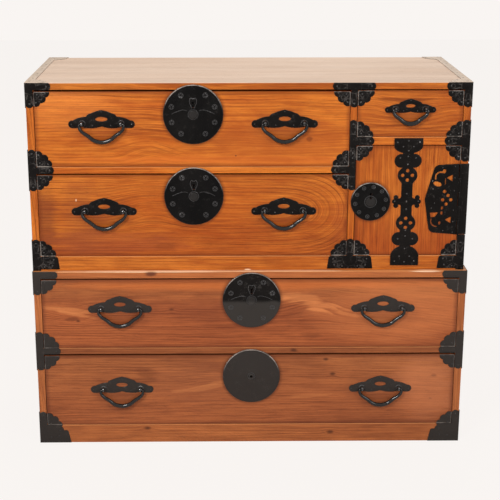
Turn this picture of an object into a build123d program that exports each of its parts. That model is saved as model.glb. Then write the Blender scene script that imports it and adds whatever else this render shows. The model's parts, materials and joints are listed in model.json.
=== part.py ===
"""Two-section clothing chest with iron mounts: four wide drawers, one small drawer and a
compartment behind a hinged door.  Lengths are in millimetres.  The origin lies on the floor under
the middle of the chest, +X runs to the right, +Z is up and the front faces -Y."""

from build123d import *
import os

os.makedirs("parts", exist_ok=True)

# ---------------------------------------------------------------- cases
lower_width = 1191.0
lower_depth = 490.0
lower_height = 512.0
upper_height = 518.0
upper_inset = (1.0, 10.0)  # sides of the upper case inside those of the lower one, left and right
upper_setback = 10.0  # front of the upper case behind that of the lower one

side_board = 20.0
upper_top_board = 18.0
lower_top_board = 20.0
finger_joints = 9
back_board = 8.0
back_boards = 3
back_joint = 0.4
bottom_board = 12.0
base_rail_depth = 24.0
upper_base_height = 41.0  # floor of the lowest opening above the foot of the case
lower_base_height = 55.0
partition_board = 17.0
right_bay = 283.5  # clear width of the bay of the small drawer and the door

# ---------------------------------------------------------------- openings
drawer_2_opening = 232.5
drawer_4_opening = 215.0
door_opening = 309.0
wide_rail = 18.0
small_rail = 22.0
rail_depth = 45.0
runner_width = 32.0
dust_panel = 6.0
panel_tongue = 6.0
shelf_board = 10.0
shelf_height = 150.0  # clear height under the compartment shelf
shelf_setback = 42.0
cleat = 12.0

# ---------------------------------------------------------------- drawers and door
side_gap = 1.5
running_gap = 0.6
stop_gap = 0.5  # between a closed drawer and the back boards
proud = 1.0  # drawer fronts and door stand this far in front of the case
front_board = 19.0
front_lip = 7.0  # wood left in front of the rebates of a drawer front
drawer_side = 10.0
drawer_bottom = 7.0
drawer_back = 10.0
side_drop = 3.0  # top of the drawer sides below the top of the front
back_drop = 9.0  # top of the drawer back below the top of the sides
top_gap = {"drawer_1": 5.0, "drawer_2": 4.0, "small_drawer": 3.0, "drawer_3": 4.0, "drawer_4": 4.5}
door_board = 19.0
door_top_gap = 2.0
door_foot_gap = 1.5
door_edge_gap = 1.6

# ---------------------------------------------------------------- scalloped irons
iron = 1.6
reach = 57.0  # radius of a rosette over its lobes
lobes = 16
lobe_radius = 11.5
lobe_lap = 2.0  # the round middle of a rosette runs this far into its lobes
iron_corner = 3.5
upper_iron_set = 9.0  # rosette centres below the floor of the lowest opening
lower_iron_set = 17.0
upper_plate_reach = 0.5  # tops of the foot plates beyond the rosettes
upper_plate_flare = 5.0  # and their feet beyond their tops
upper_plate_foot = 4.0
upper_plate_gap = 0.6  # between the plate and the top of the base rail
lower_plate_reach = 12.0
lower_plate_flare = 8.0
plate_corner = 6.0
hinge_foot_gap = 12.5  # between the hinge and the rosettes below and above it
hinge_crown_gap = 5.5
stile_strip_gap = 1.5  # between the hinge and the strip that runs up the stile below it
edge_strap = 20.0

# ---------------------------------------------------------------- locks
disc = 2.2
disc_radius = 80.0
disc_bevel = 0.8
boss_radius = 12.2
plain_boss_radius = 8.5  # on the lowest drawer
boss_height = 7.0
boss_dome = 3.0  # radius round the edge of a boss
keyhole_radius = 4.2
keyhole_slot = 4.6
keyhole_drop = 12.6  # foot of the slot below the middle of its round head
# keyholes above the middle of the disc; 0 is a round hole in the middle of the boss
keyhole_rise = {"drawer_1": 31.0, "drawer_2": 31.0, "drawer_3": 31.0, "drawer_4": 0.0, "door": 20.7}
lock_case_width = 96.0
lock_case_height = 84.0
lock_case_depth = 10.0
lock_lap = {"drawer_1": 14.0, "drawer_2": 17.0, "drawer_3": 16.5, "drawer_4": 13.0}  # over the rail above

door_disc_radius = 53.5
door_boss_radius = 14.0
door_lock_lap = 12.0  # door disc over the edge of the partition
door_disc_gap = 0.3  # between the door disc and the rosette above it, at the edge of the partition
door_lock_case_width = 53.0

# ---------------------------------------------------------------- pulls
plate_width = 176.0
plate_height = 49.0
plate_hole_x = 16.0
plate_hole_z = 6.2
post_spread = 103.4
post_drop = 12.0  # eyes below the middle of the plate
seat_radius = 9.0
seat_height = 2.2
seat_taper = 30
pin_radius = 2.5
pin_clearance = 0.4
eye_radius = 6.2
eye_width = 5.0
eye_standoff = 8.0  # bail pins in front of the face of the plate
stud_radius = 3.2
bail_radius = 4.2
bail_half_width = 60.4
bail_depth = 55.6
shoulder_gap = 0.7  # between the thick part of a bail and its eyes
bend_land = 0.1  # straight bar between a shoulder and the first bend
small_pull_scale = 0.77

# middle of the pull plates above the floor of the opening
pull_height = {"drawer_1": 130.5, "drawer_2": 141.0, "drawer_3": 129.0, "drawer_4": 122.5}
pull_height["small_drawer"] = 84.0
upper_set = 2.0  # locks and pulls to the right of the middle of the front
lower_set = 4.0
upper_pull_set = -6.8  # pulls further out than halfway from the lock disc to the end of the front
lower_pull_set = 36.2

handle_rise = {"upper": 321.0, "lower": 317.0}  # side handles above the foot of their case
handle_plate_radius = 20.0

# ---------------------------------------------------------------- door strap
strap_spine = 30.0
strap_set = -2.4  # to the right of the middle between the door disc and the hinge leaf
strap_crown_gap = 3.0  # top of the strap below the top of the rail
strap_foot_gap = 13.0  # foot of the strap above the foot of the case
strap_end_width = 77.0
strap_bows = (21.0, 31.0)  # height of the arch under the crown and over the foot
strap_top_plate = 21.0
strap_foot_plate = 26.0
cloud_radius = 19.0
cloud_spread = 35.0
cloud_levels = (113.0, -105.0)  # above the cross arms
lozenge = (26.5, 24.0)
lozenge_levels = (73.0, -60.0)
lozenge_hole = 4.8
lozenge_hole_circle = 13.0
lozenge_blend = 14.0  # hollow between a lozenge and the spine
cross_gap = 5.2  # between the cross and the door disc
cross_arm = 17.0
cross_tip = 7.0
cross_lobe = 6.5
cross_lobe_set = 3.0  # lobes of the cross nearer to its middle than the tips
cross_lobe_spread = 23.0
cross_blend = 6.0

# ---------------------------------------------------------------- door hinge
hinge_sheet = 2.4
knuckle_radius = 3.2
knuckle_count = 5
knuckle_gap = 0.4
knuckle_clearance = 0.5
barrel_lift = 0.3  # air between the barrel and the face of the door
hinge_pin_radius = 1.7
hinge_pin_clearance = 0.08
pin_end = 1.0
leaf_width = 93.0
leaf_crown_width = 68.0
leaf_crown_drop = 3.5
leaf_foot_width = 78.0
leaf_foot_rise = 6.0
leaf_corner = 17.0
flank_leaf = 46.0
flank_corner = 12.0
# piercings of the door leaf, measured from the hinge line and the middle height
round_piercing = 4.8
round_piercings = ((-40, 22), (-30, 11), (-44, -1), (-22, -1), (-34, -13))
drop_piercing = (3.0, 5.0)
drop_piercings = ((-45, -24), (-45.5, -38), (-50, -66))
triangle_piercing = ((-36, 0), (-19, 9.5), (-20, -10))
triangle_levels = (60, -57)
slit = (19.0, 2.4)
slit_place = (-39, 50)
upper_scroll = (14.0, 70, 130)  # radius, start angle, arc
upper_scroll_place = (-52, 62)
upper_scroll_width = 4.2
upper_leaf_hole = (12.0, 6.5)
upper_leaf_place = (-60, 43)
upper_leaf_tilt = -20
crown_hole = (5.0, 6.0)
crown_place = (-43, 78)
lower_wing = ((-77, -37), (-54, -36), (-63, -49), (-75, -51))
lower_scroll = (16.0, 160, 110)
lower_scroll_place = (-58, -60)
lower_scroll_width = 3.2

# ---------------------------------------------------------------- derived places
eye_hole = pin_radius + pin_clearance
hinge_pin_hole = hinge_pin_radius + hinge_pin_clearance
front_projection = proud + iron + eye_standoff + max(eye_radius, bail_radius)
lower_x0 = -lower_width / 2
lower_x1 = lower_width / 2
lower_front = (front_projection - lower_depth) / 2
back_y = lower_front + lower_depth
back_face = back_y - back_board
upper_x0 = lower_x0 + upper_inset[0]
upper_x1 = lower_x1 - upper_inset[1]
upper_front = lower_front + upper_setback
upper_z0 = lower_height
upper_z1 = upper_z0 + upper_height
upper_floor = upper_z0 + upper_base_height
upper_ceiling = upper_z1 - upper_top_board
lower_floor = lower_base_height
lower_ceiling = lower_height - lower_top_board

bay_left = upper_x0 + side_board
bay_right = upper_x1 - side_board
partition_x1 = bay_right - right_bay
partition_x0 = partition_x1 - partition_board
partition_middle = (partition_x0 + partition_x1) / 2
lower_bay_left = lower_x0 + side_board
lower_bay_right = lower_x1 - side_board

upper_rail = (upper_floor + drawer_2_opening, upper_floor + drawer_2_opening + wide_rail)
door_rail = (upper_floor + door_opening, upper_floor + door_opening + small_rail)
lower_rail = (lower_floor + drawer_4_opening, lower_floor + drawer_4_opening + wide_rail)

# middle lines of the case members, where the rosettes are centred
left_stile = upper_x0 + side_board / 2
right_stile = upper_x1 - side_board / 2
lower_left_stile = lower_x0 + side_board / 2
lower_right_stile = lower_x1 - side_board / 2
upper_top_line = upper_z1 - upper_top_board / 2
upper_rail_line = sum(upper_rail) / 2
door_rail_line = sum(door_rail) / 2
upper_base_line = upper_floor - upper_iron_set
lower_top_line = lower_height - lower_top_board / 2
lower_rail_line = sum(lower_rail) / 2
lower_base_line = lower_floor - lower_iron_set
hinge_z = (upper_base_line + reach + hinge_foot_gap, door_rail_line - reach - hinge_crown_gap)


def save(name, *solids):
    """Write one node, as a single solid or as a group of separate ones."""
    piece = solids[0] if len(solids) == 1 else Compound(children=list(solids))
    piece.label = name
    export_step(piece, f"parts/{name}.step")


def front_plane(y):
    """Plane seen from the front: its x is X, its y is Z and it faces -Y."""
    return Plane.XZ.offset(-y)


def add_rectangle(a, b, mode=Mode.ADD):
    """Rectangle that fills the spans a and b, in the sketch that is being drawn."""
    with Locations((sum(a) / 2, sum(b) / 2)):
        Rectangle(max(a) - min(a), max(b) - min(b), mode=mode)


def add_block(x, y, z, mode=Mode.ADD):
    """Block that fills the spans x, y and z, in the part that is being made."""
    with Locations((sum(x) / 2, sum(y) / 2, sum(z) / 2)):
        Box(x[1] - x[0], y[1] - y[0], z[1] - z[0], mode=mode)


def board(x, y, z):
    """Plain board that fills the spans x, y and z."""
    with BuildPart() as piece:
        add_block(x, y, z)
    return piece.part


# ---------------------------------------------------------------- carcass
def finger_spans(y0, y1):
    """Stretches of a top corner that belong to the side board; the top board has the others."""
    step = (y1 - y0) / finger_joints
    return [(y0 + step * i, y0 + step * (i + 1)) for i in range(1, finger_joints, 2)]


def top_with_fingers(x0, x1, front, ceiling, z1):
    """Top board, notched at both ends for the fingers of the sides."""
    with BuildPart() as top:
        with BuildSketch(Plane.XY.offset(ceiling)):
            add_rectangle((x0, x1), (front, back_y))
            for span in finger_spans(front, back_y):
                add_rectangle((x0, x0 + side_board), span, Mode.SUBTRACT)
                add_rectangle((x1 - side_board, x1), span, Mode.SUBTRACT)
        extrude(amount=z1 - ceiling)
    return top.part


def side_with_fingers(x0, front, z0, ceiling, z1):
    """Side board, drawn as seen from the side, with fingers up to the face of the top."""
    with BuildPart() as side:
        with BuildSketch(Plane.YZ.offset(x0)):
            add_rectangle((front, back_y), (z0, ceiling))
            for span in finger_spans(front, back_y):
                add_rectangle(span, (ceiling, z1))
        extrude(amount=side_board)
    return side.part


def base(x, front, z0, floor):
    """Base rail at the front and the bottom board behind it, level with its top."""
    rail = board(x, (front, front + base_rail_depth), (z0, floor))
    bottom = board(x, (front + base_rail_depth, back_face), (floor - bottom_board, floor))
    return rail, bottom


def back(x, z0, ceiling):
    """Back of horizontal boards laid edge to edge between the sides."""
    pitch = (ceiling - z0 + back_joint) / back_boards
    feet = [z0 + pitch * i for i in range(back_boards)]
    return [board(x, (back_face, back_y), (foot, foot + pitch - back_joint)) for foot in feet]


def dust_frame(x, front, z):
    """Front rail, two runners and a thin panel let into grooves between them."""
    mid = sum(z) / 2
    panel_x = (x[0] + runner_width - panel_tongue, x[1] - runner_width + panel_tongue)
    panel_y = (front + rail_depth - panel_tongue, back_face)
    panel_z = (mid - dust_panel / 2, mid + dust_panel / 2)
    pieces = [board(panel_x, panel_y, panel_z)]
    for span_x, span_y in (
        (x, (front, front + rail_depth)),
        ((x[0], x[0] + runner_width), (front + rail_depth, back_face)),
        ((x[1] - runner_width, x[1]), (front + rail_depth, back_face)),
    ):
        with BuildPart() as member:
            add_block(span_x, span_y, z)
            add_block(panel_x, panel_y, panel_z, Mode.SUBTRACT)
        pieces.append(member.part)
    return pieces


upper_bay = (bay_left, bay_right)
save("upper_top", top_with_fingers(upper_x0, upper_x1, upper_front, upper_ceiling, upper_z1))
save("upper_left_side", side_with_fingers(upper_x0, upper_front, upper_z0, upper_ceiling, upper_z1))
upper_right_board = upper_x1 - side_board
save("upper_right_side", side_with_fingers(upper_right_board, upper_front, upper_z0, upper_ceiling, upper_z1))
save("upper_bottom", *base(upper_bay, upper_front, upper_z0, upper_floor))
save("upper_back", *back(upper_bay, upper_z0, upper_ceiling))
partition_y = (upper_front, back_face)
save("upper_partition", board((partition_x0, partition_x1), partition_y, (upper_floor, upper_ceiling)))
save("upper_drawer_rail", *dust_frame((bay_left, partition_x0), upper_front, upper_rail))
save("small_drawer_rail", *dust_frame((partition_x1, bay_right), upper_front, door_rail))

lower_bay = (lower_bay_left, lower_bay_right)
save("lower_top", top_with_fingers(lower_x0, lower_x1, lower_front, lower_ceiling, lower_height))
save("lower_left_side", side_with_fingers(lower_x0, lower_front, 0, lower_ceiling, lower_height))
lower_right_board = lower_x1 - side_board
save("lower_right_side", side_with_fingers(lower_right_board, lower_front, 0, lower_ceiling, lower_height))
save("lower_bottom", *base(lower_bay, lower_front, 0, lower_floor))
save("lower_back", *back(lower_bay, 0, lower_ceiling))
save("lower_drawer_rail", *dust_frame(lower_bay, lower_front, lower_rail))

shelf_z = upper_floor + shelf_height
shelf_y = (upper_front + shelf_setback, back_face)
cleat_y = (upper_front + shelf_setback + cleat, back_face)
save(
    "compartment_shelf",
    board((partition_x1, bay_right), shelf_y, (shelf_z, shelf_z + shelf_board)),
    board((partition_x1, partition_x1 + cleat), cleat_y, (shelf_z - cleat, shelf_z)),
    board((bay_right - cleat, bay_right), cleat_y, (shelf_z - cleat, shelf_z)),
)

# ---------------------------------------------------------------- scalloped irons
with BuildSketch() as rosette:
    Circle(reach - lobe_radius + lobe_lap)
    with PolarLocations(reach - lobe_radius, lobes):
        Circle(lobe_radius)


def face_irons(x, z, y, centres):
    """Irons on a drawer front or a door: what each rosette covers of its face."""
    irons = []
    for centre in centres:
        with BuildPart() as corner:
            with BuildSketch(front_plane(y)):
                with Locations((sum(x) / 2, sum(z) / 2)):
                    RectangleRounded(x[1] - x[0], z[1] - z[0], iron_corner)
                with Locations(centre):
                    add(rosette.sketch, mode=Mode.INTERSECT)
            extrude(amount=iron)
        irons.append(corner.part)
    return irons


def case_iron(front, members, centres, plate=None, strip=None, flank=None, over=None):
    """Iron on the front of a case: what the rosettes at centres cover of the members, as pairs of
    spans in x and z.  plate is a plate on the base rail, as a span of its foot, its flare and its
    heights, and strip is a plain one.  flank folds the iron round a side as (x, outward, height of
    the rosette, span in z), and over is the iron on the top."""
    with BuildPart() as sheet:
        with BuildSketch(front_plane(front)) as face:
            with BuildSketch(mode=Mode.PRIVATE) as cover:
                with Locations(*centres):
                    add(rosette.sketch)
            for member in members:
                add_rectangle(*member)
            add(cover.sketch, mode=Mode.INTERSECT)
            if strip:
                add_rectangle(*strip)
            if plate:
                foot, flare, (low, high) = plate
                free = [not flank or abs(x - flank[0]) > reach for x in foot]
                crown = (foot[0] + flare * free[0], foot[1] - flare * free[1])
                with BuildLine():
                    Polyline((foot[0], low), (crown[0], high), (crown[1], high), (foot[1], low), close=True)
                make_face()
                loose = [x for x, is_free in zip(crown, free) if is_free]
                tops = [v for v in face.vertices() if abs(v.Y - high) < 0.01]
                fillet([v for v in tops if min(abs(v.X - x) for x in loose) < 0.01], plate_corner)
        extrude(amount=iron)
        if flank:
            x, outward, level, span = flank
            with BuildSketch(Plane.YZ.offset(x)):
                add_rectangle((front - iron, front + reach), span)
                with Locations((front, level)):
                    add(rosette.sketch, mode=Mode.INTERSECT)
            extrude(amount=iron * outward)
        if over:
            add(over)
    return sheet.part


def top_edge(x, outward):
    """Angle strap along a side edge of the top, with quarter rosettes at its two ends."""
    width = (x + outward * iron, x - outward * reach)
    length = (upper_front - iron, back_y)
    with BuildPart() as strap:
        with BuildSketch(Plane.XY.offset(upper_z1)):
            with BuildSketch(mode=Mode.PRIVATE) as ends:
                with Locations((x, upper_front), (x, back_y)):
                    add(rosette.sketch)
            add_rectangle(width, length)
            add(ends.sketch, mode=Mode.INTERSECT)
            add_rectangle((x + outward * iron, x - outward * edge_strap), length)
        extrude(amount=iron)
        with BuildSketch(Plane.YZ.offset(x)):
            add_rectangle((back_y - reach, back_y), (upper_z1 - reach, upper_z1 + iron))
            with Locations((back_y, upper_z1)):
                add(rosette.sketch, mode=Mode.INTERSECT)
            add_rectangle(length, (upper_z1 - edge_strap, upper_z1 + iron))
        extrude(amount=iron * outward)
    return strap.part


def rear_foot(x, outward, z0, level):
    """Quarter rosette low on the rear edge of a side."""
    with BuildPart() as foot:
        with BuildSketch(Plane.YZ.offset(x)):
            add_rectangle((back_y - reach, back_y), (z0, level + reach))
            with Locations((back_y, level)):
                add(rosette.sketch, mode=Mode.INTERSECT)
        extrude(amount=iron * outward)
    return foot.part


def corner_irons(x, outward, front, foot, top, rail, base, base_level, plate, over=None, strip_top=None):
    """Irons down one front corner of a case, folded round its side, and one on its rear edge.
    foot is where the case ends below.  top, rail and base are the heights of the members that run
    inwards from the corner, and plate is the foot plate, as half the length of its foot, its flare
    and its heights.  strip_top is the end of a strip that runs up the stile."""
    line = x - outward * side_board / 2
    stile = (x + outward * iron, x - outward * side_board)
    inwards = (x + outward * iron, line - outward * reach)
    crown = top[1] + iron if over else top[1]
    height = (foot, crown)
    plate_half, flare, plate_span = plate
    foot_plate = (sorted((x + outward * iron, line - outward * plate_half)), flare, plate_span)
    strip = (stile, (base_level, strip_top)) if strip_top else None
    irons = [rear_foot(x, outward, foot, base_level)]
    for level, member, extras, fold_over in (
        (sum(top) / 2, (top[0], crown), (None, None), over),
        (sum(rail) / 2, rail, (None, None), None),
        (base_level, base, (foot_plate, strip), None),
    ):
        members = [(stile, height), (inwards, member)]
        flank = (x, outward, level, height)
        irons.append(case_iron(front, members, [(line, level)], *extras, flank, fold_over))
    return irons


upper_irons = []
lower_irons = []
upper_plate_span = (upper_z0 + upper_plate_foot, upper_floor - upper_plate_gap)
upper_plate_half = reach + upper_plate_reach + upper_plate_flare
lower_plate_half = reach + lower_plate_reach + lower_plate_flare
upper_plate = (upper_plate_half, upper_plate_flare, upper_plate_span)
lower_plate = (lower_plate_half, lower_plate_flare, (0, lower_base_line))
strip_top = hinge_z[0] - stile_strip_gap
for x, outward, rail, top in ((upper_x0, -1, upper_rail, None), (upper_x1, 1, door_rail, strip_top)):
    upper_irons += corner_irons(
        x, outward, upper_front, upper_z0, (upper_ceiling, upper_z1), rail, upper_plate_span,
        upper_base_line, upper_plate, top_edge(x, outward), top,
    )
for x, outward in ((lower_x0, -1), (lower_x1, 1)):
    lower_irons += corner_irons(
        x, outward, lower_front, 0, (lower_ceiling, lower_height), lower_rail, (0, lower_floor),
        lower_base_line, lower_plate,
    )

# irons over the partition: a tee at the top, a double rosette at the rails and a foot
partition_face = ((partition_x0, partition_x1), (upper_floor, upper_ceiling))
partition_foot = ((partition_x0, partition_x1), (upper_z0 + upper_plate_foot, upper_ceiling))
around = (partition_middle - reach, partition_middle + reach)
top_tee = [partition_face, (around, (upper_ceiling, upper_z1))]
arms = [((around[0], partition_middle), upper_rail), ((partition_middle, around[1]), door_rail)]
crossings = [(partition_middle, upper_rail_line), (partition_middle, door_rail_line)]
middle_span = (partition_middle - upper_plate_half, partition_middle + upper_plate_half)
middle_plate = (middle_span, upper_plate_flare, upper_plate_span)
upper_irons += [
    case_iron(upper_front, top_tee, [(partition_middle, upper_top_line)]),
    case_iron(upper_front, [partition_face, *arms], crossings),
    case_iron(upper_front, [partition_foot], [(partition_middle, upper_base_line)], middle_plate),
]


# ---------------------------------------------------------------- pulls
def eye_bolt(x, z, y):
    """Round seat, stud and eye that carry one end of a bail, standing on a face at y."""
    with BuildPart() as bolt:
        with BuildSketch(front_plane(y)):
            with Locations((x, z)):
                Circle(seat_radius)
        extrude(amount=seat_height, taper=seat_taper)
        with BuildSketch(front_plane(y)):
            with Locations((x, z)):
                Circle(stud_radius)
        extrude(amount=eye_standoff - eye_hole)
        for radius, mode in ((eye_radius, Mode.ADD), (eye_hole, Mode.SUBTRACT)):
            with BuildSketch(Plane.YZ.offset(x - eye_width / 2)):
                with Locations((y - eye_standoff, z)):
                    Circle(radius)
            extrude(amount=eye_width, mode=mode)
    return bolt.part


def pull_plate(cx, cz, y, scale=1.0):
    """Mountain-shaped backplate with an oval hole, and the two eyes of the bail."""
    w = scale * plate_width / 2
    h = scale * plate_height / 2
    peak, saddle, notch = (0, h), (-0.33 * w, 0.62 * h), (-0.46 * w, 0.28 * h)
    shoulder, tip = (-0.86 * w, -0.14 * h), (-0.89 * w, -0.98 * h)
    foot, cusp = (-0.60 * w, -0.86 * h), (0, -0.80 * h)
    eye_places = [cx + side * scale * post_spread / 2 for side in (-1, 1)]
    eyes = [eye_bolt(eye_x, cz - scale * post_drop, y - iron) for eye_x in eye_places]
    with BuildPart() as plate:
        with BuildSketch(front_plane(y)):
            with BuildSketch(mode=Mode.PRIVATE) as outline:
                with BuildLine():
                    ThreePointArc(peak, (-0.17 * w, 0.85 * h), saddle)
                    ThreePointArc(saddle, (-0.41 * w, 0.50 * h), notch)
                    ThreePointArc(notch, (-0.68 * w, 0.15 * h), shoulder)
                    ThreePointArc(shoulder, (-w, -0.62 * h), tip)
                    ThreePointArc(tip, (-0.74 * w, -0.96 * h), foot)
                    ThreePointArc(foot, (-0.28 * w, -0.99 * h), cusp)
                    mirror(about=Plane.YZ)
                make_face()
                Ellipse(plate_hole_x * scale, plate_hole_z * scale, mode=Mode.SUBTRACT)
            with Locations((cx, cz)):
                add(outline.sketch)
        extrude(amount=iron)
        add(eyes)
    return plate.part


def bail(scale):
    """Shouldered bail hanging in the XZ plane, its pins on the X axis through the origin."""
    w = bail_half_width * scale
    d = bail_depth * scale
    shoulder = scale * post_spread / 2 + eye_width / 2 + shoulder_gap
    pin_tip = scale * post_spread / 2 - eye_width / 2 - pin_end
    half = [(-shoulder, 0), (-w, 0), (-w, -0.42 * d), (-0.66 * w, -0.61 * d), (-0.48 * w, -0.83 * d)]
    route = [*half, (0, -d), *[(-px, pz) for px, pz in reversed(half)]]
    bends = [w - shoulder - bend_land, 0.33 * w, 0.66 * w, 0.5 * w]
    with BuildPart() as loop:
        with BuildLine(Plane.XZ):
            FilletPolyline(*route, radius=[*bends, w, *bends[::-1]])
        with BuildSketch(Plane.YZ.offset(-shoulder)):
            Circle(bail_radius * scale)
        sweep()
        for side in (-1, 1):
            with BuildSketch(Plane.YZ.offset(side * pin_tip)):
                Circle(pin_radius)
            extrude(amount=side * (shoulder - pin_tip))
    return loop.part


wide_bail = bail(1.0)
small_bail = bail(small_pull_scale)


# ---------------------------------------------------------------- locks
def keyhole(cx, cz, y, rise):
    """Opening for the key on a plane at y, rise above the middle of a lock disc."""
    with BuildSketch(front_plane(y)) as opening:
        with Locations((cx, cz + rise)):
            Circle(keyhole_radius)
            if rise:
                Rectangle(keyhole_slot, keyhole_drop, align=(Align.CENTER, Align.MAX))
    return opening.sketch


def lock_disc(radius, boss, rise):
    """Round lock plate with a bevelled rim, a domed boss in its middle and a keyhole.  Its back
    lies on the plane y = 0, and the middle of its back is the origin."""
    with BuildPart() as plate:
        with BuildSketch():
            with BuildLine():
                Polyline(
                    (0, 0),
                    (radius, 0),
                    (radius, disc_bevel - disc),
                    (radius - disc_bevel, -disc),
                    (boss, -disc),
                    (boss, boss_dome - boss_height),
                )
                RadiusArc((boss, boss_dome - boss_height), (boss - boss_dome, -boss_height), boss_dome)
                Polyline((boss - boss_dome, -boss_height), (0, -boss_height), (0, 0))
            make_face()
        revolve(axis=Axis.Y)
        extrude(keyhole(0, 0, 0, rise), amount=boss_height, mode=Mode.SUBTRACT)
    return plate.part


def lock_case_spans(cx, cz, width, board_back):
    """Spans of a closed lock case let into the back of a front board."""
    half_w = width / 2
    half_h = lock_case_height / 2
    return (cx - half_w, cx + half_w), (board_back - lock_case_depth, board_back), (cz - half_h, cz + half_h)


# ---------------------------------------------------------------- drawers
def drawer(name, x, z, front, centres, pull_places, lock_x=None, boss=boss_radius):
    """Drawer with its irons, lock and pulls, in the opening that fills the spans x and z.  centres
    are the rosettes round the opening, and pull_places the middles of the pull plates in x."""
    left, right = x[0] + side_gap, x[1] - side_gap
    low, high = z[0] + running_gap, z[1] - top_gap[name]
    face = front - proud
    board_back = face + front_board
    rear = back_face - stop_gap
    rebate = face + front_lip
    lock_z = z[1] + lock_lap[name] - disc_radius if lock_x else None
    with BuildPart() as front_piece:
        add_block((left, right), (face, board_back), (low, high))
        for span in ((left, left + drawer_side), (right - drawer_side, right)):
            add_block(span, (rebate, board_back), (low, high), Mode.SUBTRACT)
        add_block((left, right), (rebate, board_back), (low, low + drawer_bottom), Mode.SUBTRACT)
        if lock_x:
            lock_case = lock_case_spans(lock_x, lock_z, lock_case_width, board_back)
            add_block(*lock_case, Mode.SUBTRACT)
            opening = keyhole(lock_x, lock_z, face, keyhole_rise[name])
            extrude(opening, amount=lock_case_depth - front_board, mode=Mode.SUBTRACT)
    save(f"{name}_front", front_piece.part)

    wall_z = (low + drawer_bottom, high - side_drop)
    save(
        f"{name}_box",
        board((left, right), (rebate, rear), (low, wall_z[0])),
        board((left, left + drawer_side), (rebate, rear), wall_z),
        board((right - drawer_side, right), (rebate, rear), wall_z),
        board(
            (left + drawer_side, right - drawer_side),
            (rear - drawer_back, rear),
            (wall_z[0], wall_z[1] - back_drop),
        ),
    )
    save(f"{name}_corner_irons", *face_irons((left, right), (low, high), face, centres))
    if lock_x:
        plate = lock_disc(disc_radius, boss, keyhole_rise[name])
        save(f"{name}_lock", plate.moved(Location((lock_x, face, lock_z))), board(*lock_case))

    single = len(pull_places) == 1
    scale = small_pull_scale if single else 1.0
    pull_z = z[0] + pull_height[name]
    save(f"{name}_pull_plates", *[pull_plate(cx, pull_z, face, scale) for cx in pull_places])
    for ending, cx in zip([""] if single else ["_left", "_right"], pull_places):
        pivot = Location((cx, face - iron - eye_standoff, pull_z - scale * post_drop))
        save(f"{name}_bail{ending}", (small_bail if single else wide_bail).moved(pivot))


def wide_places(x, middle_set, pull_set):
    """Middle of the lock and middles of the two pulls of a wide drawer in the span x."""
    middle = sum(x) / 2 + middle_set
    out = (disc_radius + (x[1] - x[0]) / 2) / 2 + pull_set
    return (middle - out, middle + out), middle


left_opening = (bay_left, partition_x0)
right_opening = (partition_x1, bay_right)
upper_pulls, upper_lock = wide_places(left_opening, upper_set, upper_pull_set)
lower_pulls, lower_lock = wide_places(lower_bay, lower_set, lower_pull_set)
for name, span, levels in (
    ("drawer_1", (upper_rail[1], upper_ceiling), (upper_top_line, upper_rail_line)),
    ("drawer_2", (upper_floor, upper_rail[0]), (upper_rail_line, upper_base_line)),
):
    centres = [(x, z) for x in (left_stile, partition_middle) for z in levels]
    drawer(name, left_opening, span, upper_front, centres, upper_pulls, upper_lock)
for name, span, levels, boss in (
    ("drawer_3", (lower_rail[1], lower_ceiling), (lower_top_line, lower_rail_line), boss_radius),
    ("drawer_4", (lower_floor, lower_rail[0]), (lower_rail_line, lower_base_line), plain_boss_radius),
):
    centres = [(x, z) for x in (lower_left_stile, lower_right_stile) for z in levels]
    drawer(name, lower_bay, span, lower_front, centres, lower_pulls, lower_lock, boss)
centres = [(x, z) for x in (partition_middle, right_stile) for z in (upper_top_line, door_rail_line)]
small_span = (door_rail[1], upper_ceiling)
drawer("small_drawer", right_opening, small_span, upper_front, centres, (sum(right_opening) / 2,))

# ---------------------------------------------------------------- compartment door
door_face = upper_front - proud
door_back = door_face + door_board
door_x = (partition_x1 + side_gap, bay_right - door_edge_gap)
door_z = (upper_floor + door_foot_gap, door_rail[0] - door_top_gap)
door_disc_x = door_x[0] - door_lock_lap + door_disc_radius
rosette_chord = (reach**2 - (partition_board / 2) ** 2) ** 0.5
disc_chord = (door_disc_radius**2 - (door_disc_x - partition_x1) ** 2) ** 0.5
door_disc_z = upper_rail_line - rosette_chord - door_disc_gap - disc_chord
door_lock_case = lock_case_spans(door_disc_x, door_disc_z, door_lock_case_width, door_back)

with BuildPart() as door_panel:
    add_block(door_x, (door_face, door_back), door_z)
    add_block(*door_lock_case, Mode.SUBTRACT)
    opening = keyhole(door_disc_x, door_disc_z, door_face, keyhole_rise["door"])
    extrude(opening, amount=lock_case_depth - door_board, mode=Mode.SUBTRACT)
save("door_panel", door_panel.part)

centres = [(x, z) for x in (partition_middle, right_stile) for z in (door_rail_line, upper_base_line)]
save("door_corner_irons", *face_irons(door_x, door_z, door_face, centres))
door_disc = lock_disc(door_disc_radius, door_boss_radius, keyhole_rise["door"])
door_disc_place = Location((door_disc_x, door_face, door_disc_z))
save("door_lock", door_disc.moved(door_disc_place), board(*door_lock_case))

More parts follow.
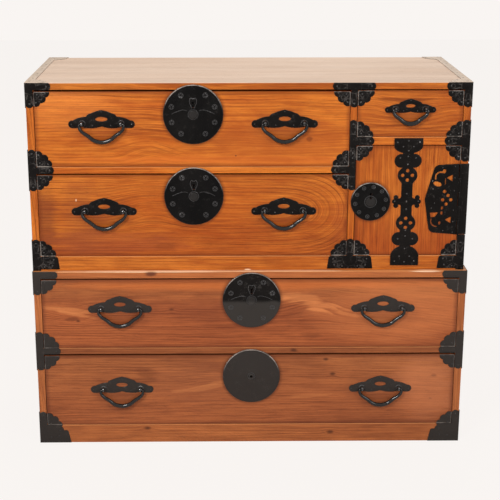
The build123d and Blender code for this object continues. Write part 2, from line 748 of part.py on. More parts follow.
# pierced strap down the middle of the door, lapping over the rails above and below it
hinge_x = bay_right - door_edge_gap / 2
strap_x = (door_disc_x + door_disc_radius + hinge_x - leaf_width) / 2 + strap_set
strap_z = (upper_z0 + strap_foot_gap, door_rail[1] - strap_crown_gap)
strap_end_x = (strap_x - strap_end_width / 2, strap_x + strap_end_width / 2)
cross_reach = strap_x - door_disc_x - door_disc_radius - cross_gap
tip_spread = 2 * (cross_reach - cross_tip)
lobe_spread = tip_spread - 2 * cross_lobe_set
strap_ends = ((strap_z[1] - strap_top_plate, strap_z[1]), (strap_z[0], strap_z[0] + strap_foot_plate))
with BuildPart() as door_strap:
    with BuildSketch(front_plane(door_face)) as strap_face:
        add_rectangle((strap_x - strap_spine / 2, strap_x + strap_spine / 2), strap_z)
        for span, bow_z, bow in zip(strap_ends, (strap_ends[0][0], strap_ends[1][1]), strap_bows):
            add_rectangle(strap_end_x, span)
            with Locations((strap_x, bow_z)):
                Ellipse(strap_end_width / 2, bow)
        add_rectangle(strap_end_x, strap_z, Mode.INTERSECT)
        with Locations(*[(strap_x, door_disc_z + level) for level in cloud_levels]):
            with GridLocations(cloud_spread, 1, 2, 1):
                Circle(cloud_radius)
        with Locations(*[(strap_x, door_disc_z + level) for level in lozenge_levels]):
            Ellipse(*lozenge)
            with PolarLocations(lozenge_hole_circle, 4):
                Circle(lozenge_hole, mode=Mode.SUBTRACT)
        between = [door_disc_z + level for level in lozenge_levels]
        necks = [v for v in strap_face.vertices() if min(between) < v.Y < max(between)]
        fillet([v for v in necks if abs(abs(v.X - strap_x) - strap_spine / 2) < 0.01], lozenge_blend)
        with Locations((strap_x, door_disc_z)):
            Rectangle(tip_spread, cross_arm)
            with GridLocations(tip_spread, 1, 2, 1):
                Circle(cross_tip)
            with GridLocations(lobe_spread, cross_lobe_spread, 2, 2):
                Circle(cross_lobe)
        necks = [v for v in strap_face.vertices() if abs(v.Y - door_disc_z) < cross_arm]
        fillet([v for v in necks if abs(abs(v.X - strap_x) - strap_spine / 2) < 0.01], cross_blend)
    extrude(amount=iron)
save("door_strap", door_strap.part)

# ---------------------------------------------------------------- door hinge
hinge_y = door_face - knuckle_radius - barrel_lift
hinge_mid = sum(hinge_z) / 2
hinge_length = hinge_z[1] - hinge_z[0]
leaf_edge = knuckle_radius + knuckle_clearance  # leaves stop this far from the hinge line
tongue_edge = hinge_pin_hole + barrel_lift  # and their tongues, under the knuckles, this far


def knuckles(first):
    """Every second knuckle of the barrel, as spans of height."""
    pitch = (hinge_length + knuckle_gap) / knuckle_count
    feet = [hinge_z[0] + pitch * i for i in range(first, knuckle_count, 2)]
    return [(foot, foot + pitch - knuckle_gap) for foot in feet]


def barrel(first, outward, leaf_y):
    """Rolled knuckles, with the tongues and webs that tie them to a leaf on a face at leaf_y."""
    with BuildPart() as rolls:
        for low, high in knuckles(first):
            with BuildSketch(Plane.XY.offset(low)):
                with Locations((hinge_x, hinge_y)):
                    Circle(knuckle_radius)
                add_rectangle((hinge_x, hinge_x + outward * knuckle_radius), (hinge_y, leaf_y))
                tongue = [hinge_x + outward * edge for edge in (tongue_edge, leaf_edge + knuckle_clearance)]
                add_rectangle(tongue, (leaf_y - hinge_sheet, leaf_y))
                with Locations((hinge_x, hinge_y)):
                    Circle(hinge_pin_hole, mode=Mode.SUBTRACT)
            extrude(amount=high - low)
    return rolls.part


half = hinge_length / 2
door_barrel = barrel(1, -1, door_face)
with BuildPart() as hinge_door_leaf:
    with BuildSketch(front_plane(door_face)):
        with BuildSketch(mode=Mode.PRIVATE) as leaf:
            with BuildLine():
                Polyline(
                    (-leaf_edge, half),
                    (-leaf_crown_width, half - leaf_crown_drop),
                    (-leaf_width, 0),
                    (-leaf_foot_width, leaf_foot_rise - half),
                    (-leaf_edge, -half),
                    close=True,
                )
            make_face()
            outer = leaf.vertices().filter_by(lambda v: v.X < -leaf_edge - leaf_corner)
            fillet(outer, leaf_corner)
            with Locations(*round_piercings):
                Circle(round_piercing, mode=Mode.SUBTRACT)
            with Locations(*drop_piercings):
                Ellipse(*drop_piercing, mode=Mode.SUBTRACT)
            with Locations(*[(0, level) for level in triangle_levels]):
                Polygon(*triangle_piercing, align=None, mode=Mode.SUBTRACT)
            with Locations(slit_place):
                SlotOverall(*slit, rotation=90, mode=Mode.SUBTRACT)
            with Locations(upper_scroll_place):
                SlotArc(CenterArc((0, 0), *upper_scroll), upper_scroll_width, mode=Mode.SUBTRACT)
            with Locations(upper_leaf_place):
                Ellipse(*upper_leaf_hole, rotation=upper_leaf_tilt, mode=Mode.SUBTRACT)
            with Locations(crown_place):
                Ellipse(*crown_hole, mode=Mode.SUBTRACT)
            Polygon(*lower_wing, align=None, mode=Mode.SUBTRACT)
            with Locations(lower_scroll_place):
                SlotArc(CenterArc((0, 0), *lower_scroll), lower_scroll_width, mode=Mode.SUBTRACT)
        with Locations((hinge_x, hinge_mid)):
            add(leaf.sketch)
    extrude(amount=hinge_sheet)
    add(door_barrel)
save("door_hinge_leaf", hinge_door_leaf.part)

case_barrel = barrel(0, 1, upper_front)
with BuildPart() as hinge_case_leaf:
    with BuildSketch(front_plane(upper_front)):
        add_rectangle((hinge_x + leaf_edge, upper_x1 + hinge_sheet), hinge_z)
    extrude(amount=hinge_sheet)
    with BuildSketch(Plane.YZ.offset(upper_x1)):
        flank_y = (upper_front - hinge_sheet, upper_front + flank_leaf)
        add_rectangle((flank_y[0], sum(flank_y) / 2), hinge_z)
        with Locations((sum(flank_y) / 2, hinge_mid)):
            RectangleRounded(flank_y[1] - flank_y[0], hinge_length, flank_corner)
    extrude(amount=hinge_sheet)
    add(case_barrel)

with BuildPart() as hinge_pin:
    with BuildSketch(Plane.XY.offset(hinge_z[0] - pin_end)):
        with Locations((hinge_x, hinge_y)):
            Circle(hinge_pin_radius)
    extrude(amount=hinge_length + 2 * pin_end)
save("door_hinge_case_leaf", hinge_case_leaf.part, hinge_pin.part)

# ---------------------------------------------------------------- side handles
handle_y = (upper_front + back_y) / 2


def side_handle(x, outward, z):
    """Two round plates with eyes on a side, and the bail that hangs between them."""
    turn = Rotation(0, 0, 90 * outward)
    place = Location((x, handle_y, z))
    plates = []
    for eye_x in (-post_spread / 2, post_spread / 2):
        eye = eye_bolt(eye_x, 0, -iron)
        with BuildPart() as plate:
            with BuildSketch(front_plane(0)):
                with Locations((eye_x, 0)):
                    Circle(handle_plate_radius)
            extrude(amount=iron)
            add(eye)
        plates.append(plate.part.moved(place * turn))
    pivot = Location((x + outward * (iron + eye_standoff), handle_y, z))
    return plates, wide_bail.moved(pivot * turn)


for level, z0, ends, irons in (
    ("upper", upper_z0, (upper_x0, upper_x1), upper_irons),
    ("lower", 0, (lower_x0, lower_x1), lower_irons),
):
    for side, outward, x in zip(("left", "right"), (-1, 1), ends):
        plates, handle = side_handle(x, outward, z0 + handle_rise[level])
        irons += plates
        save(f"{level}_handle_{side}", handle)

save("upper_case_irons", *upper_irons)
save("lower_case_irons", *lower_irons)
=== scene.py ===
import bpy
import bmesh
import json
import math
from mathutils import Matrix, Vector
from mathutils.bvhtree import BVHTree

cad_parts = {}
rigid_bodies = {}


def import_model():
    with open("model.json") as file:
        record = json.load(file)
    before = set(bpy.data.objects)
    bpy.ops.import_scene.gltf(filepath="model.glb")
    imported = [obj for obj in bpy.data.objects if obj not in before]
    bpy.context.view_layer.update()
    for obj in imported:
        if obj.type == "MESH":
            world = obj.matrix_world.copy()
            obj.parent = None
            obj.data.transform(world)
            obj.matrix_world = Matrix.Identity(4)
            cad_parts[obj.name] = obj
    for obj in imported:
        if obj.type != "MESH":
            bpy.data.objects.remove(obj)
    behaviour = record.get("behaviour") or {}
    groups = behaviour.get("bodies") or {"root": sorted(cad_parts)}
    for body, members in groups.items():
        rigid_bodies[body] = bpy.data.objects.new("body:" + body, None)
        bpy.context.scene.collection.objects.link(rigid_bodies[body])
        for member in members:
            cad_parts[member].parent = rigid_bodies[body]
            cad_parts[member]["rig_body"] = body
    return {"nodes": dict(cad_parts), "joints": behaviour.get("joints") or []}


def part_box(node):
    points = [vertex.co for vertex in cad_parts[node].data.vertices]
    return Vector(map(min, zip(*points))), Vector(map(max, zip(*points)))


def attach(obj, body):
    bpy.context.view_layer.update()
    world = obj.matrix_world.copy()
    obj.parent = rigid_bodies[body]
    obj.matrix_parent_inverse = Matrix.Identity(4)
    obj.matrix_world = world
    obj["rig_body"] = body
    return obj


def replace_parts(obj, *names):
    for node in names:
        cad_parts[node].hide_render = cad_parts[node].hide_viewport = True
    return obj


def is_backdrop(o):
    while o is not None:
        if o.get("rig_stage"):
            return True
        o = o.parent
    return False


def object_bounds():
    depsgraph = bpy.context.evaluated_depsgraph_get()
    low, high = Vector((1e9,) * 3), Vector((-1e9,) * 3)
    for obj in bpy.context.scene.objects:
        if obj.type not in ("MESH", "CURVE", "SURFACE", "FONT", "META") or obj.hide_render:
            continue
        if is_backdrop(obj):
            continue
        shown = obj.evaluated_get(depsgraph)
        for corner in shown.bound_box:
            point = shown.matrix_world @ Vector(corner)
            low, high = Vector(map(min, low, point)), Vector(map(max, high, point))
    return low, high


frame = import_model()
nodes = frame["nodes"]
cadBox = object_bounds()
scene = bpy.context.scene
mm = 0.001
print("chest frame loaded:", len(nodes), "nodes")


def tone(red, green, blue):
    # every colour here is as a colour picker shows it, from 0 to 255
    def straight(value):
        part = value / 255
        return part / 12.92 if part < 0.04045 else ((part + 0.055) / 1.055) ** 2.4

    return (straight(red), straight(green), straight(blue), 1)


class Signal:
    # a socket that can stand in a sum: grain * 0.4 + 1 adds its Math nodes
    def __init__(self, finish, socket):
        self.finish = finish
        self.socket = socket

    def math(self, operation, *values):
        return self.finish.add("Math", {"operation": operation}, dict(enumerate(values)))

    def __add__(self, other):
        return self.math("ADD", self, other)

    __radd__ = __add__

    def __sub__(self, other):
        return self.math("SUBTRACT", self, other)

    def __rsub__(self, other):
        return self.math("SUBTRACT", other, self)

    def __mul__(self, other):
        return self.math("MULTIPLY", self, other)

    __rmul__ = __mul__

    def __truediv__(self, other):
        return self.math("DIVIDE", self, other)

    def __rtruediv__(self, other):
        return self.math("DIVIDE", other, self)

    def __pow__(self, other):
        return self.math("POWER", self, other)

    def __abs__(self):
        return self.math("ABSOLUTE", self)

    def fraction(self):
        return self.math("FRACT", self)


class Finish:
    # the nodes of a material or of the world; add() takes a kind, settings, and socket values or links
    def __init__(self, owner):
        self.owner = owner
        owner.use_nodes = True
        self.tree = owner.node_tree
        self.tree.nodes.clear()
        self.colour = None

    def add(self, kind, settings=None, inputs=None, output=0):
        node = self.tree.nodes.new("ShaderNode" + kind)
        for key, value in (settings or {}).items():
            if key == "stops":
                ramp = node.color_ramp.elements
                while len(ramp) < len(value):
                    ramp.new(0.5)
                for stop, (place, shade) in zip(ramp, value):
                    stop.position = place
                    stop.color = (shade, shade, shade, 1)
            else:
                setattr(node, key, value)
        for key, value in (inputs or {}).items():
            if isinstance(value, Signal):
                self.tree.links.new(value.socket, node.inputs[key])
            else:
                node.inputs[key].default_value = value
        return Signal(self, node.outputs[output]) if node.outputs else None

    def apart(self, spot, count):
        return [self.add("SeparateXYZ", None, {0: spot}, axis) for axis in range(count)]

    def place(self):
        # metres from the foot of the chest, along x, y and z
        return self.apart(self.add("TexCoord", output="Object"), 3)

    def noise(self, u, v, w, detail=2.0, roughness=0.5):
        spot = self.add("CombineXYZ", None, {0: u, 1: v, 2: w})
        inputs = {"Vector": spot, "Scale": 1.0, "Detail": detail, "Roughness": roughness}
        return self.add("TexNoise", None, inputs)

    def mix(self, share, first, second, blend="MIX"):
        settings = {"data_type": "RGBA", "blend_type": blend, "clamp_factor": True}
        both = [end if isinstance(end, Signal) else tone(*end) for end in (first, second)]
        return self.add("Mix", settings, {0: share, 6: both[0], 7: both[1]}, 2)

    def lay(self, share, shade, blend="MIX"):
        # puts a share of this shade over the colour so far
        self.colour = self.mix(share, self.colour, shade, blend)

    def span(self, value, low, high, outLow=0.0, outHigh=1.0):
        inputs = {"Value": value, "From Min": low, "From Max": high, "To Min": outLow, "To Max": outHigh}
        return self.add("MapRange", {"interpolation_type": "SMOOTHSTEP"}, inputs)

    def least(self, first, second):
        return first.math("MINIMUM", first, second)

    def most(self, first, second):
        return first.math("MAXIMUM", first, second)

    def distance(self, across, up):
        return (across ** 2 + up ** 2) ** 0.5

    def rim(self, u, v, uSpan, vSpan):
        # distance from the nearest of the four edges of a rectangle
        across = self.least(u - uSpan[0], uSpan[1] - u)
        up = self.least(v - vSpan[0], vSpan[1] - v)
        return self.least(across, up)

    def close(self, shader, ending="OutputMaterial"):
        self.add(ending, None, {"Surface": shader})
        return self.owner

    def shell(self, roughness, height, relief, fixed):
        # relief is the height of the bumps in metres; fixed are sockets the same all over
        bump = self.add("Bump", None, {"Strength": 1.0, "Distance": relief, "Height": height})
        sockets = {"Base Color": self.colour, "Roughness": roughness, "Normal": bump, **fixed}
        return self.close(self.add("BsdfPrincipled", None, sockets))


def pieceName(node):
    return node.title().replace("_", "")


def lowered(name):
    return name[0].lower() + name[1:]


# stains of the wood; top is the bleached upper face with a painted sheen, inner the bare wood inside
stainTones = {
    # light and dark wood, late wood, pores
    "upper": ((223, 128, 42), (180, 86, 19), (104, 40, 3), (72, 28, 4)),
    "lower": ((181, 105, 56), (143, 78, 41), (90, 40, 20), (62, 28, 14)),
    "inner": ((208, 162, 114), (186, 136, 90), (146, 96, 56), (104, 68, 40)),
    "top": ((230, 203, 181), (222, 193, 170), (204, 168, 142), (164, 124, 96)),
}
stains = {wood: dict(zip(("light", "dark", "line", "pore"), shades)) for wood, shades in stainTones.items()}
red, smearAndShade, flame = (196, 126, 112), (84, 40, 26), (214, 132, 76)
worn, bare = (226, 152, 92), (240, 214, 184)
upperLine, lowerLine = stains["upper"]["line"], stains["lower"]["line"]

# heart is the pith's place across and into the board; slope its drift along it; gap the width of a ring;
# sway how far the grain wanders; lines the strength of the late wood; crest is where the rings begin to
# close in arches and how fast; fan where the lines begin to descend and how steeply; a swell is its place
# along and across, half sizes and how far the lines rise there; planks are the foot and the width of
# boards laid edge to edge
plainFigure = {"heart": (1.2, -0.2), "slope": 0.02, "gap": 0.0072, "sway": 0.05, "seed": 0.0, "lines": 0.55,
               "crest": None, "fan": None, "swells": (), "shade": None, "planks": None}

woodLook = {
    # dark late wood, and the thin lines between: places across one ring and strength there
    "lateWood": ((0.0, 0.75), (0.08, 1.0), (0.18, 0.42), (0.42, 0.06), (0.84, 0.08), (1.0, 0.75)),
    "thinLines": ((0.0, 0.6), (0.16, 1.0), (0.38, 0.1), (0.8, 0.0), (1.0, 0.6)),
    "thinToRing": 3.4, "thinShare": 0.34, "ringStray": 2.6,
    # from one board of a back to the next: steps across and into the log, and of the seed
    "plankSteps": (0.31, 0.047, 1.7),
    "roughness": 0.52, "fadedRoughness": 0.34, "relief": 0.00045,
    "gloss": {"Specular IOR Level": 0.17, "Coat Weight": 0.02, "Coat Roughness": 0.3},
}


def woodFinish(name, grain, tones, figure, knots=(), marks=(), tints=(), rim=None, rub=None, halo=None,
               bleached=None):
    # grain names the axes along, across and into the board; a mark is its place along and across, half
    # sizes, lean, how ragged it is, colour and share; a tint is the heights where it is full and gone,
    # colour and share; a knot is its place and size; rim is the front's two spans, the width of the
    # darkening along its edges, grime and painted shade, and its share; rub is the height of the
    # upper edge, worn pale and painted with a highlight, its width and share; halo is the middle and
    # radius of a lock plate, with grime and a painted shadow round it; bleached the height of the
    # top, bleached and painted with a sheen
    figure = {**plainFigure, **figure}
    finish = Finish(bpy.data.materials.new(name))
    span, lay, mix, noise = finish.span, finish.lay, finish.mix, finish.noise
    x, y, z = finish.place()
    u, v, w = ({"x": x, "y": y, "z": z}[axis] for axis in grain)
    seed, gap, sway = figure["seed"], figure["gap"], figure["sway"]
    if figure["planks"]:
        # several boards, each cut from another part of the log
        foot, width = figure["planks"]
        count = (v - foot) / width
        plank = count.math("FLOOR", count)
        seam = 0.5 - abs(count.fraction() - 0.5)
        acrossStep, intoStep, seedStep = woodLook["plankSteps"]
        v = v + plank * acrossStep
        w = w + plank * intoStep
        seed = plank * seedStep + seed

    def figureNoise(along, across, ownSeed, detail=2.0):
        # so many features to a metre along the board and across it
        return noise(u * along, v * across, w * across + ownSeed, detail)

    def past(start):
        # how far past this place along the board, or 0 before it
        return finish.most(u - start, 0.0)

    sweep = figureNoise(0.9, 3.2, seed)
    bend = figureNoise(6.5, 11, seed + 1)
    shiver = figureNoise(24, 62, seed + 2, 3)
    side = v - figure["heart"][0] + (sweep - 0.5) * sway + (bend - 0.5) * (sway * 0.14)
    side = side + (shiver - 0.5) * 0.0024
    for alongSwell, acrossSwell, alongSize, acrossSize, lift in figure["swells"]:
        away = finish.distance((u - alongSwell) / alongSize, (v - acrossSwell) / acrossSize)
        side = side - span(away, 1.0, 0.0, 0.0, lift)
    if figure["fan"]:
        start, lean = figure["fan"]
        side = side + past(start) * lean
    depth = w - figure["heart"][1] + u * figure["slope"]
    if figure["crest"]:
        start, steep = figure["crest"]
        ahead = past(start)
        depth = depth + ahead * ahead * steep
    radius = (side * side + depth * depth) ** 0.5
    knotCore = None
    for alongKnot, acrossKnot, size in knots:
        # the rings bulge round a knot, which is longer along the board
        away = finish.distance((u - alongKnot) * 0.6, v - acrossKnot)
        near = span(away, size * 4.0, size * 0.3)
        radius = radius + near * near * (size * 0.9)
        core = span(away + (shiver - 0.5) * size, size * 1.3, size * 0.2)
        knotCore = core if knotCore is None else finish.most(knotCore, core)
    # no two rings are of the same width or strength
    count = radius / gap + (noise(radius * 26, u * 0.4, seed, 1) - 0.5) * woodLook["ringStray"]
    line = finish.add("ValToRGB", {"stops": woodLook["lateWood"]}, {0: count.fraction()})
    fine = (count * woodLook["thinToRing"]).fraction()
    fine = finish.add("ValToRGB", {"stops": woodLook["thinLines"]}, {0: fine})
    line = line * span(noise(radius * 75, u * 1.2, seed + 5, 1), 0.34, 0.62, 0.25, 1.0)
    line = line * span(figureNoise(1.1, 16, seed + 3), 0.36, 0.62, 0.3, 1.0)
    streak = noise(u * 2.6, radius * 110, seed + 4)
    thread = noise(u * 7, radius * 250, seed + 6)
    fibre = figureNoise(9, 420, seed)
    pore = span(figureNoise(60, 1150, seed, 1), 0.62, 0.72)
    patch = figureNoise(1.1, 5.5, seed + 7, 3)
    blotch = figureNoise(16, 44, seed + 9, 3)
    body = patch * 0.55 + streak * 0.2 + blotch * 0.25
    finish.colour = mix(span(body, 0.36, 0.62), tones["dark"], tones["light"])
    if figure["shade"]:
        lay(1.0, figure["shade"], "MULTIPLY")
    lay(line * figure["lines"], tones["line"])
    lay(fine * (figure["lines"] * woodLook["thinShare"]), tones["line"])
    lay(span(thread, 0.52, 0.70, 0.0, 0.34), tones["line"])
    lay(span(thread, 0.48, 0.30, 0.0, 0.30), tones["light"])
    lay(span(fibre, 0.36, 0.72, 0.0, 0.36), tones["line"])
    lay(pore * (0.18 + line * 0.45), tones["pore"])
    if figure["planks"]:
        lay((plank * 0.37).fraction() * 0.35, tones["dark"])
        lay(span(seam * width, 0.0016, 0.0004, 0.0, 0.85), tones["pore"])
    for full, gone, shade, share in tints:
        height = z + (patch - 0.5) * 0.09 + (streak - 0.5) * 0.03
        lay(span(height, gone, full, 0.0, share), shade, "MULTIPLY")
    if knotCore is not None:
        lay(knotCore * 0.75, tones["pore"])
    for alongMark, acrossMark, alongSize, acrossSize, lean, ragged, shade, share in marks:
        along = u - alongMark
        across = v - acrossMark - along * lean
        away = finish.distance(along / alongSize, across / acrossSize)
        torn = ((bend - 0.5) + (streak - 0.5) + (blotch - 0.5)) * ragged
        lay(span(away + torn, 1.15, 0.45, 0.0, share), shade)
    if halo:
        # grime and a painted shadow round the lock plate
        alongDisc, acrossDisc, radius = halo
        away = finish.distance(u - alongDisc, v - acrossDisc)
        lay(span(away, radius + 0.011, radius, 0.0, 0.5), tones["pore"])
    if rim:
        # the front darkens towards its edges: grime and painted shade
        uSpan, vSpan, band, share = rim
        edge = finish.rim(u, v, uSpan, vSpan)
        lay(span(edge + (patch - 0.5) * band, band, 0.0, 0.0, share), tones["line"])
    if rub:
        height, band, share = rub
        # the upper edge is painted pale: wear, and a painted highlight where it catches the light
        lay(span(height - v + (blotch - 0.5) * band * 0.8, band, band * 0.35, 0.0, share), worn)
    rough = woodLook["roughness"] - patch * 0.12 + line * 0.10 + fibre * 0.06
    if bleached is not None:
        # the upper face is painted paler: faded wood, and a painted sheen of the light glancing off it
        top = stains["top"]
        pale = mix(span(streak * 0.6 + patch * 0.4, 0.38, 0.62), top["dark"], top["light"])
        pale = mix(line * 0.14, pale, top["line"])
        pale = mix(span(fibre, 0.5, 0.8, 0.0, 0.25), pale, top["pore"])
        above = span(z, bleached - 0.0008, bleached - 0.0003)
        lay(above, pale)
        rough = rough + above * woodLook["fadedRoughness"]
    height = fibre * 0.2 - line * 0.3 - pore * 0.4 + sweep * 0.5
    return finish.shell(rough, height, woodLook["relief"], woodLook["gloss"])


# lacquered, bare or rubbed sheet iron; engraved is the depth of the rosettes' petals in metres
plainIron = {"dark": (9, 6, 5), "worn": (92, 86, 82), "wear": 0.3, "roughness": 0.42, "coat": 0.0,
             "specular": 0.09, "metallic": 0.0, "grain": 1.0, "engraved": 0.0, "coatRoughness": 0.14,
             "relief": 0.0003}

# an engraved rosette, in metres from its middle; a pair is where an edge begins and ends; there is a
# small ring in each petal, and ringSquare is the square of its radius
rosette = {"petals": 16, "gap": (0.0022, 0.0006), "foot": (0.021, 0.023), "tip": (0.0500, 0.0485),
           "ring": 0.0415, "ringSquare": 0.000030, "ringLine": (0.000016, 0.000006),
           "ringFoot": (0.034, 0.036), "hub": 0.0195, "hubLine": (0.0016, 0.0006)}
# the rim tones are painted highlights: one on the rubbed edges of a front, one on the upper rim of a lock
# plate
ironTones = {"lockGrey": (52, 48, 45), "lockRim": (176, 162, 152), "boss": (74, 70, 68),
             "rim": (154, 144, 136), "dust": ((196, 176, 156), (218, 196, 176)),
             "dustSpeck": (120, 100, 84), "dustyNail": (60, 50, 44)}


def ironFinish(name, look, rim=None, dusty=None, dots=(), disc=None):
    # rim is the front's two spans, the width of the rubbed edge painted with a highlight, and its share;
    # dusty the height of the top, where dots are nails; disc the middle of a lock plate, its radius, its
    # boss and its split
    look = {**plainIron, **look}
    finish = Finish(bpy.data.materials.new(name))
    span, lay, mix = finish.span, finish.lay, finish.mix
    x, y, z = finish.place()

    def cast(size, *rest):
        return finish.noise(x * size, y * size, z * size, *rest)

    cloud = cast(48, 3, 0.6)
    speck = cast(420 * look["grain"], 3, 0.6)
    dent = cast(130)
    patina = cast(9)
    wearMask = span(speck * 0.5 + cloud * 0.5, 0.56, 0.66, 0.0, look["wear"])
    finish.colour = mix(span(patina, 0.35, 0.7, 0.0, 0.03), look["dark"], look["worn"])
    lay(wearMask, look["worn"])
    height = dent * 0.8 + speck * 0.25
    rough = look["roughness"] + (cloud - 0.5) * 0.22
    if look["engraved"]:
        across, up = finish.apart(finish.add("UVMap", {"uv_map": "rosette"}), 2)
        away = (across * across + up * up) ** 0.5
        # petals counted round the rosette; the whole turns added keep the count above nothing
        turn = across.math("ARCTAN2", up, across) * (rosette["petals"] / (2 * math.pi)) + 100.5
        half = abs(turn.fraction() - 0.5)
        wide = away * (2 * math.pi / rosette["petals"])
        petal = span((0.5 - half) * wide, *rosette["gap"]) * span(away, *rosette["foot"])
        petal = petal * span(away, *rosette["tip"])
        ring = abs((half * wide) ** 2 + (away - rosette["ring"]) ** 2 - rosette["ringSquare"])
        ring = span(ring, *rosette["ringLine"]) * span(away, *rosette["ringFoot"])
        hub = span(abs(away - rosette["hub"]), *rosette["hubLine"])
        cut = finish.most(finish.most(petal, hub), ring)
        height = height - cut * (look["engraved"] / look["relief"])
        lay(cut * span(cloud, 0.42, 0.62, 0.02, 0.42), look["worn"])
    if disc:
        # turned grooves round the middle, a bare boss, a painted highlight on the upper rim, and a matt
        # grey half below the split
        xMiddle, zMiddle, radius, boss, split = disc
        away = finish.distance(x - xMiddle, z - zMiddle)
        groove = span(abs((away * 450).fraction() - 0.5), 0.18, 0.02)
        height = height - groove * 0.22
        if split:
            grey = span(z + (cloud - 0.5) * 0.012, split + 0.006, split - 0.006)
            lay(grey, ironTones["lockGrey"])
            rough = rough + grey * 0.22
        # a painted highlight along the upper rim
        rimHighlight = span(away, radius - 0.0030, radius - 0.0018)
        rimHighlight = rimHighlight * span(z, zMiddle + radius * 0.1, zMiddle + radius * 0.7)
        lay(rimHighlight * span(cloud, 0.3, 0.6, 0.3, 1.0), ironTones["lockRim"])
        bossMask = span(away, boss + 0.0004, boss - 0.0006, 0.0, 0.26)
        lay(bossMask, ironTones["boss"])
    if rim:
        # the straight edges of the front are rubbed and painted bright with the highlight they catch, the
        # lower one most
        xSpan, zSpan, band, share = rim
        edge = finish.rim(x, z, xSpan, (zSpan[0] + band * 0.3, zSpan[1]))
        rimGlint = span(edge + (speck - 0.5) * band * 0.5, band, band * 0.45)
        rimGlint = rimGlint * span(cloud, 0.36, 0.60, 0.2, 1.0)
        lay(rimGlint * share, ironTones["rim"])
    if dusty is not None:
        above = span(z, dusty + 0.0006, dusty + 0.0012)
        pale = mix(span(cloud, 0.35, 0.65), *ironTones["dust"])
        pale = mix(span(speck, 0.60, 0.7, 0.0, 0.35), pale, ironTones["dustSpeck"])
        for xDot, yDot in dots:
            away = finish.distance(x - xDot, y - yDot)
            pale = mix(span(away, 0.0034, 0.0022, 0.0, 0.9), pale, ironTones["dustyNail"])
        lay(above, pale)
        rough = rough + above * 0.2
    fixed = {"Coat Weight": look["coat"], "Coat Roughness": look["coatRoughness"],
             "Metallic": look["metallic"], "Specular IOR Level": look["specular"]}
    return finish.shell(rough, height, look["relief"], fixed)


ironLooks = {
    "engraved": {"engraved": 0.0005, "wear": 0.4},
    "black": {},
    "glossy": {"dark": (4, 3, 3), "roughness": 0.3, "specular": 0.09, "wear": 0.14},
    "grey": {"dark": (46, 41, 38), "worn": (72, 66, 61), "wear": 0.35, "roughness": 0.58,
             "specular": 0.1},
    "bail": {"dark": (10, 8, 7), "worn": (56, 53, 50), "wear": 0.3, "roughness": 0.26, "coat": 0.6,
             "coatRoughness": 0.1, "specular": 0.1, "relief": 0.00008},
    # the eyes: glossy, with pale patches painted on as highlights
    "eye": {"dark": (34, 31, 30), "worn": (150, 146, 143), "wear": 0.6, "roughness": 0.2,
            "coat": 1.0, "coatRoughness": 0.1, "specular": 0.5, "grain": 0.4},
    "nail": {"dark": (28, 25, 24), "worn": (176, 170, 164), "wear": 0.8, "roughness": 0.26,
             "coat": 0.6, "specular": 0.5, "grain": 0.4},
    "greyNail": {"dark": (34, 30, 28), "worn": (118, 110, 104), "wear": 0.5, "roughness": 0.4,
                 "specular": 0.3, "grain": 0.4},
    # eased edges: rubbed pale and painted with highlights
    "edge": {"dark": (26, 22, 20), "worn": (140, 130, 122), "wear": 0.7, "roughness": 0.36,
             "grain": 0.3, "specular": 0.3},
    "mark": {"dark": (52, 50, 50), "worn": (150, 148, 148), "wear": 0.8, "roughness": 0.34,
             "specular": 0.3},
}
irons = {key: ironFinish(key + "Iron", look) for key, look in ironLooks.items()}
print("irons finished")


def mapRosettes(mesh, centres):
    # lays the map of each face flat from the middle of the nearest rosette, as (axis, a, b) in metres
    layer = mesh.loops.layers.uv.new("rosette")
    pick = {"x": (1, 2), "y": (0, 2), "z": (0, 1)}
    farOff = 9.0  # where the middle counts as on a side that has no rosette
    for face in mesh.faces:
        axis = "xyz"[max(range(3), key=lambda i: abs(face.normal[i]))]
        a, b = pick[axis]
        middle = face.calc_center_median()
        own = [c for c in centres if c[0] == axis] or [(axis, farOff, farOff)]
        near = min(own, key=lambda c: (c[1] - middle[a]) ** 2 + (c[2] - middle[b]) ** 2)
        for loop in face.loops:
            loop[layer].uv = (loop.vert.co[a] - near[1], loop.vert.co[b] - near[2])


# widths of eased edges; degrees from which an edge is eased, shades sharp or outlasts the joining of
# flat faces; and how far forward faces of a round part look
easing = {"board": 0.0007, "front": 0.0011, "iron": 0.00035, "eased": 32, "sharp": 26, "joined": 1,
          "round": (0.15, 0.98)}


def settle(mesh, name, body, finishes, *replaced, slot=None):
    # turns a bmesh into a piece that rides on its body
    data = bpy.data.meshes.new(name)
    mesh.to_mesh(data)
    mesh.free()
    for finish in finishes:
        data.materials.append(finish)
    data.shade_smooth()
    data.set_sharp_from_angle(angle=math.radians(easing["sharp"]))
    piece = bpy.data.objects.new(lowered(name), data)
    scene.collection.objects.link(piece)
    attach(piece, body)
    if replaced:
        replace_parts(piece, *replaced)
    return piece


